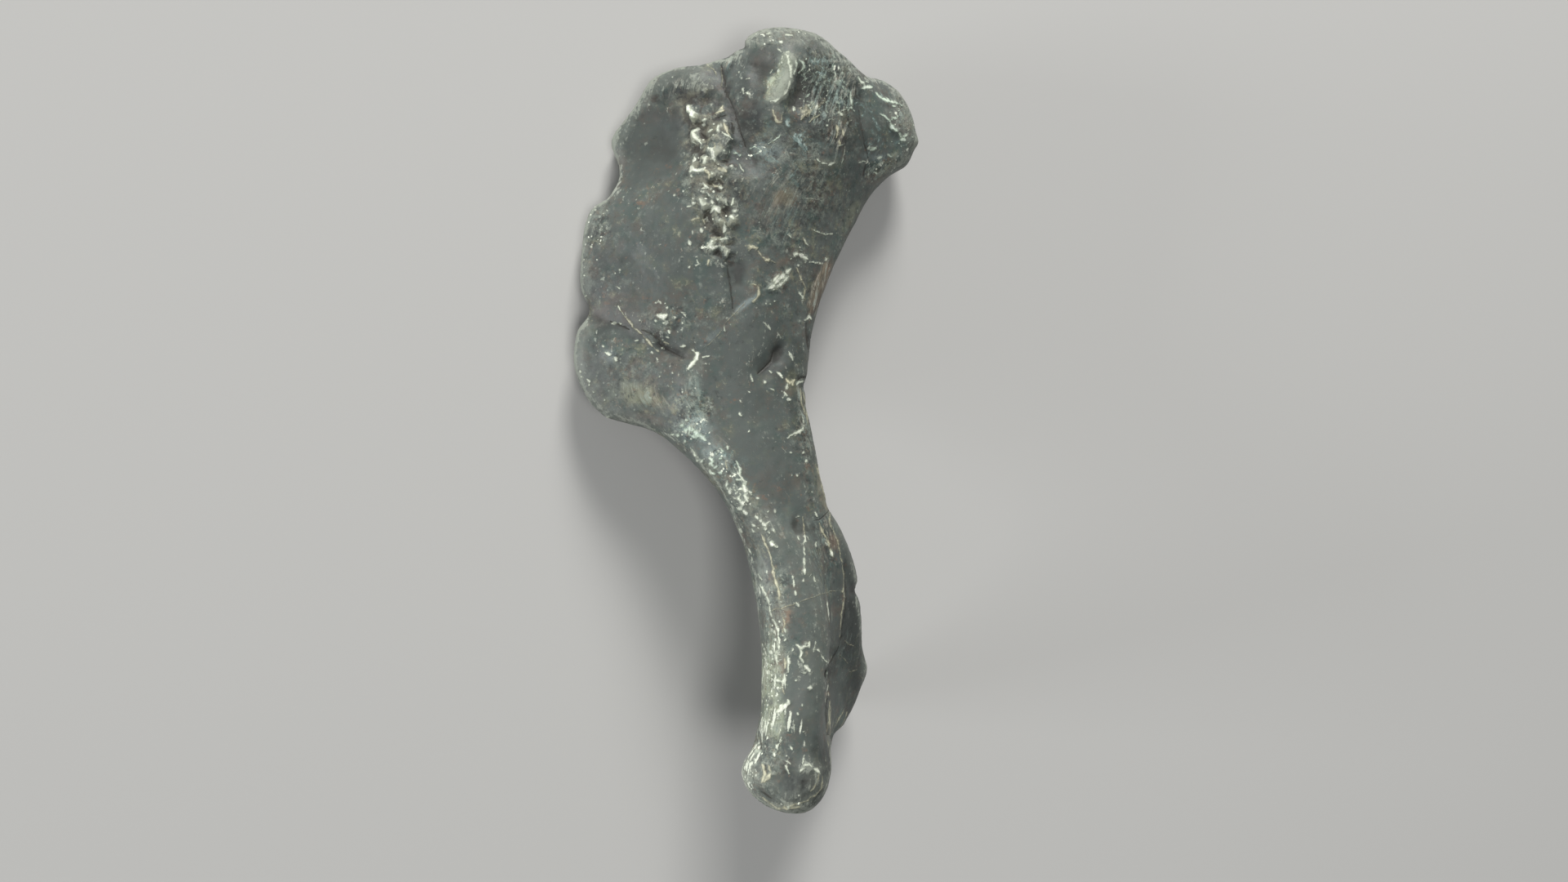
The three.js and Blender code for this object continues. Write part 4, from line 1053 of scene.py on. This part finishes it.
def marked(name, edge, blur, waver):
    """How far the marks kept under a name cover the face, softly graded to their middles, with a
    ragged edge, and how far outside them a place lies, in mm. Thin marks have less blur than broad
    ones, and all of them waver. Where the nearest mark isn't the same all round, the gap told at
    the vertices is used."""
    along, aside, half_length = parts_of(kept(name, "Vector"))
    width, gap, own = parts_of(kept(name + " edge", "Color"))
    past_end = (along.math("ABSOLUTE") - half_length).math("MAXIMUM", 0.0)
    aside = aside + (mottling * 0.8 + flecking * 0.4) * waver
    exact = (past_end * past_end + aside * aside).math("SQRT") - width
    differing = (kept(name + " edge", "Alpha") - own * own).rise(*UNLIKE_NUMBERS)
    outside = exact + (gap - exact) * differing + edge
    return outside.math("DIVIDE", width * 0.5 + blur).rise(1, -1), outside


# The bone itself: slate grey, greener and browner in broad blotches where it is weathered.
DARK_SLATE = opaque(0.076, 0.088, 0.081)
SLATE = opaque(0.093, 0.107, 0.098)
PALE_SLATE = opaque(0.108, 0.131, 0.115)
body = mix(DARK_SLATE, SLATE, broad.rise(0.35, 0.65))
body = mix(body, PALE_SLATE, blotch.rise(0.5, 0.75) * 0.5)
TINGES = (  # brown, teal and olive, each a share of the blotches' size and a part of the noise
    (opaque(0.120, 0.088, 0.068), 1, 0.51, 0.66),
    (opaque(0.042, 0.080, 0.070), 0.85, 0.51, 0.66),
    (opaque(0.125, 0.135, 0.085), 0.7, 0.55, 0.70),
)
tinged = weathering * 0.9 + 0.1
for size, strength in ((6.5, 0.8), (2.2, 0.75)):
    for colour, share, low, high in TINGES:
        blotches = grain(place, size * share, 4, 0.65).rise(low, high)
        body = mix(body, colour, blotches * tinged * strength)

# Stains, with the painted shade and painted highlight among them: their edges break up on the grain.
stain_shade_and_highlight_paint = kept("stains_shade_and_highlight", "Color")
stain_shade_and_highlight_cover = kept("stains_shade_and_highlight", "Alpha")
broken = (stain_shade_and_highlight_cover + mottling * 1.1 + flecking * 0.6).rise(0.28, 0.8)
body = mix(body, stain_shade_and_highlight_paint, stain_shade_and_highlight_cover * 0.35 + broken * stain_shade_and_highlight_cover * 0.7)

# Weathering breaks it up into dark and pale flecks and grains, more and more of them.
PALE_FLECK = opaque(0.175, 0.200, 0.172)
DARK_FLECK = opaque(0.040, 0.045, 0.042)
OLIVE_GRAIN = opaque(0.25, 0.25, 0.17)
BROWN_GRAIN = opaque(0.16, 0.105, 0.075)
olive_grains = (blotch * 0.5 + flecks * 0.5 + weathering * 0.12).rise(0.61, 0.70)
brown_grains = (grain(place, 3, 4) * 0.6 + flecks * 0.4 + weathering * 0.06).rise(0.60, 0.68)
body = mix(body, PALE_FLECK, (mottle + weathering * 0.2).rise(0.60, 0.80) * 0.75)
body = mix(body, DARK_FLECK, (mottle - weathering * 0.17).rise(0.38, 0.22) * 0.8)
body = mix(body, OLIVE_GRAIN, olive_grains * 0.5)
body = mix(body, BROWN_GRAIN, brown_grains * 0.6)
SPOTS = (  # colour, size in mm, how much weathering adds, what it starts from, and cover
    (opaque(0.030, 0.034, 0.033), 0.9, 0.4, 0.1, 0.5),
    (opaque(0.28, 0.31, 0.26), 0.75, 0.42, 0.1, 0.7),
    (opaque(0.44, 0.48, 0.40), 1.3, 0.2, 0.08, 0.8),
)
for colour, size, growth, threshold, cover in SPOTS:
    body = mix(body, colour, strewn(place, size, weathering * growth - threshold) * cover)

# Hair-fine veins wind over the weathered faces, pale ones and dark ones.
pale_hairs = (grain(place, 3.4, 5, 0.62, 1.4) - 0.5).math("ABSOLUTE").rise(0.032, 0.006)
dark_hairs = (grain(place, 2.6, 5, 0.62, 1.0) - 0.5).math("ABSOLUTE").rise(0.036, 0.008)
DARK_HAIR = opaque(0.034, 0.037, 0.033)
PALE_HAIR = opaque(0.33, 0.37, 0.30)
pale_hairs = pale_hairs * weathering.rise(0.35, 0.95) * mottle.rise(0.42, 0.60)
body = mix(body, DARK_HAIR, dark_hairs * weathering.rise(0.3, 0.9) * 0.5)
body = mix(body, PALE_HAIR, pale_hairs * 0.6)

# The stone's tone, painted shade and painted light, and over it a bluish frosting with white grains.
BLUISH_FROST = opaque(0.15, 0.225, 0.21)
WHITE_FROST = opaque(0.34, 0.42, 0.39)
frost = kept("frosted")
frosting = (grain(place, 3.2, 6, 0.72, 0.6) + fining * 0.2).rise(0.53, 0.66) * frost
body = mix(body, kept("tone_with_shade_and_light"), 1.0, "MULTIPLY")
body = mix(body, BLUISH_FROST, frosting * 0.6)
body = mix(body, WHITE_FROST, (frosting + flecking * 2.2).rise(0.75, 1.25) * frost * 0.7)

# Bare fibres, pale ones of teal and pinkish hues and dark furrows side by side. Both take on some
# of the colour of the stains and painted shade.
TEAL_FIBRE = opaque(0.20, 0.30, 0.27)
PINKISH_FIBRE = opaque(0.36, 0.33, 0.26)
BLEACHED = opaque(1, 1, 0.92)
FURROW = opaque(0.038, 0.043, 0.042)
thread_cover = kept("threads")
streaks = (strands + thread_cover * 0.03).rise(0.52, 0.62) * thread_cover * mottle.rise(0.32, 0.56)
furrows = (strands - thread_cover * 0.03).rise(0.46, 0.36) * thread_cover
hue = grain(along_bone, 1.6, 3, 0.6)
fibre_paint = mix(TEAL_FIBRE, PINKISH_FIBRE, hue.rise(0.42, 0.58))
fibre_paint = mix(fibre_paint, mix(stain_shade_and_highlight_paint, BLEACHED, 0.35), stain_shade_and_highlight_cover * 0.5)
furrow_paint = mix(FURROW, stain_shade_and_highlight_paint, stain_shade_and_highlight_cover * 0.3)
body = mix(body, furrow_paint, furrows * 0.75)
body = mix(body, fibre_paint, streaks * 0.8)

# Worn rims are paler, in fibres and flecks and half in the colour of the stains and painted shade,
# and partly a painted highlight, and hollows hold dark dirt and painted shade. Each of the two is
# found at a fine and at a broad scale.
WORN_AND_LIT_RIM = opaque(0.46, 0.49, 0.41)
WORN_AND_LIT_RISE = opaque(0.14, 0.155, 0.135)
DIRT_AND_SHADE = opaque(0.036, 0.036, 0.032)
BROAD_DIRT_AND_SHADE = opaque(0.040, 0.041, 0.036)
rim_wear_and_highlight = outstanding + kept("worn_and_lit_rims") * 0.2 + (strands - 0.5) * 0.9 + flecking * 0.9
rim_wear_and_highlight = rim_wear_and_highlight.rise(0.18, 0.40)
dirt_and_shade = (outstanding + mottling * 0.12).rise(-0.05, -0.26)
body = mix(body, mix(WORN_AND_LIT_RIM, stain_shade_and_highlight_paint, stain_shade_and_highlight_cover * 0.5), rim_wear_and_highlight * 0.65)
body = mix(body, WORN_AND_LIT_RISE, (raised + mottling * 0.8).rise(0.35, 1.1) * 0.5)
body = mix(body, DIRT_AND_SHADE, dirt_and_shade * 0.6)
body = mix(body, BROAD_DIRT_AND_SHADE, (raised + mottling * 0.4).rise(-0.15, -0.8) * 0.6)

# The scar is tan and grey between its knobs, brown with painted shade in its creases and cream with a
# painted highlight on its tops.
SCAR_GREY = opaque(0.10, 0.105, 0.09)
SCAR_TAN = opaque(0.22, 0.215, 0.155)
SCAR_BROWN_AND_SHADE = opaque(0.050, 0.043, 0.034)
SCAR_CREAM_AND_HIGHLIGHT = opaque(0.36, 0.375, 0.28)
between_knobs = mix(SCAR_GREY, SCAR_TAN, mottle.rise(0.42, 0.62))
shaded_creases = (outstanding + mottling * 0.3).rise(-0.04, -0.22) * scar_cover.rise(0.5, 1.0)
lit_tops = (outstanding + mottling * 0.9 + flecking * 0.5).rise(0.25, 0.60) * scar_cover
body = mix(body, between_knobs, scar_cover * (blotch + mottling * 0.5).rise(0.46, 0.54) * 0.6)
body = mix(body, SCAR_BROWN_AND_SHADE, shaded_creases * 0.5)
body = mix(body, SCAR_CREAM_AND_HIGHLIGHT, lit_tops * 0.6)

# Veins and crusts break up along their length, and are palest in their middles, partly as painted
# light on their rounded backs.
OLIVE_VEIN = opaque(0.19, 0.185, 0.12)
CREAM_VEIN = opaque(0.68, 0.66, 0.47)
GREY_CALCITE = opaque(0.26, 0.285, 0.23)
PALE_CALCITE = opaque(0.66, 0.71, 0.57)
WHITE_CALCITE = opaque(0.90, 0.92, 0.80)
TINGE_OF_BLUE = opaque(0.88, 0.98, 0.98)
ragged_edge = mottling * (0.5 + scar_cover * 0.9) + flecking * 0.7 + fining * 0.3
broken_up = (mottle * 0.5 + flecks * 0.5).rise(0.36, 0.56) * 0.6 + 0.4
cream_cover, past_cream = marked("cream", ragged_edge * 0.8, blur=0.11, waver=1.0)
cream_paint = mix(OLIVE_VEIN, CREAM_VEIN, past_cream.rise(0.1, -0.3))
body = mix(body, cream_paint, cream_cover * broken_up * 0.85)
calcite_cover, past_calcite = marked("calcite", ragged_edge, blur=0.12, waver=1.0)
white = mix(GREY_CALCITE, PALE_CALCITE, past_calcite.rise(0.1, -0.15))
white = mix(white, WHITE_CALCITE, past_calcite.rise(-0.15, -0.4))
white = mix(white, TINGE_OF_BLUE, frost, "MULTIPLY")

# White crystals lie under the crusts, as dots and drawn out along the bone, and cracks and the
# painted shade of steps over them.
CRYSTAL = opaque(0.80, 0.84, 0.70)
CRACK_AND_STEP_SHADE = opaque(0.034, 0.029, 0.023)
dots = kept("dotted")
dashes = kept("streaked")
crystals = strewn(place, 0.8, dots * 0.7 - 0.12, 1.2, 0.24)
for where, size, amount, raggedness, radius in (
        (place, 1.4, dots * 0.45, 1.6, 0.26),
        (along_bone, 1.0, dashes * 0.75, 0.8, 0.34),
        (along_bone, 0.7, dashes * 0.6, 0.8, 0.34)):
    more = strewn(where, size, amount - 0.12, raggedness, radius)
    crystals = crystals.math("MAXIMUM", more)
crack_and_step_shade_cover, _ = marked("cracks_and_step_shade", ragged_edge * 0.25, blur=0.10, waver=0.25)
body = mix(body, CRYSTAL, crystals * 0.9)
body = mix(body, white, calcite_cover * broken_up)
body = mix(body, CRACK_AND_STEP_SHADE, crack_and_step_shade_cover * broken_up * 0.75)

# On the side that rests on the floor and in the folds, thin veins and crusts run as they please.
HIDDEN_VEIN = opaque(0.5, 0.53, 0.43)
HIDDEN_CRUST = opaque(0.40, 0.42, 0.33)
winding = grain(place, 13, 3, 0.55, 0.6)
thin_veins = (winding - 0.5).math("ABSOLUTE").rise(0.012, 0.002) * broad.rise(0.45, 0.6)
crusts = (blotch + mottling * 0.7 + flecking * 0.5).rise(0.62, 0.82) * broad.rise(0.6, 0.45)
body = mix(body, HIDDEN_VEIN, thin_veins * hidden * 0.8)
body = mix(body, HIDDEN_CRUST, crusts * hidden * 0.6)
Paint.links.new(body.socket, shader.inputs["Base Color"])

# A dull polish, rougher where the stone is weathered and on calcite, cracks and painted step shade.
SHEEN = 0.36
roughness = 0.40 + mottle * 0.16 + weathering * 0.1 + calcite_cover * 0.1 + crack_and_step_shade_cover * 0.3
Paint.links.new(roughness.socket, shader.inputs["Roughness"])
shader.inputs["Specular IOR Level"].default_value = SHEEN

# Fine relief of the surface: grain, fibres and furrows, and what stands on the stone, in mm.
BUMP_STRENGTH = 0.8
height = (mottle * (0.03 + weathering * 0.15) + flecks * (0.01 + weathering * 0.10)
          + streaks * 0.10 - furrows * 0.10 + rim_wear_and_highlight * 0.04
          + calcite_cover * 0.14 + crystals * 0.12 + cream_cover * 0.10 - crack_and_step_shade_cover * 0.15
          + (mottle * 0.5 + flecks * 0.3) * scar_cover + flecks * kept("ends") * 0.12)
bump = Paint.add("ShaderNodeBump", {}, {
    "Strength": BUMP_STRENGTH, "Distance": MM, "Height": height})
Paint.links.new(bump.socket, shader.inputs["Normal"])

bone.data.materials.clear()
bone.data.materials.append(stone)
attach(bone, "root")
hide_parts("humerus")
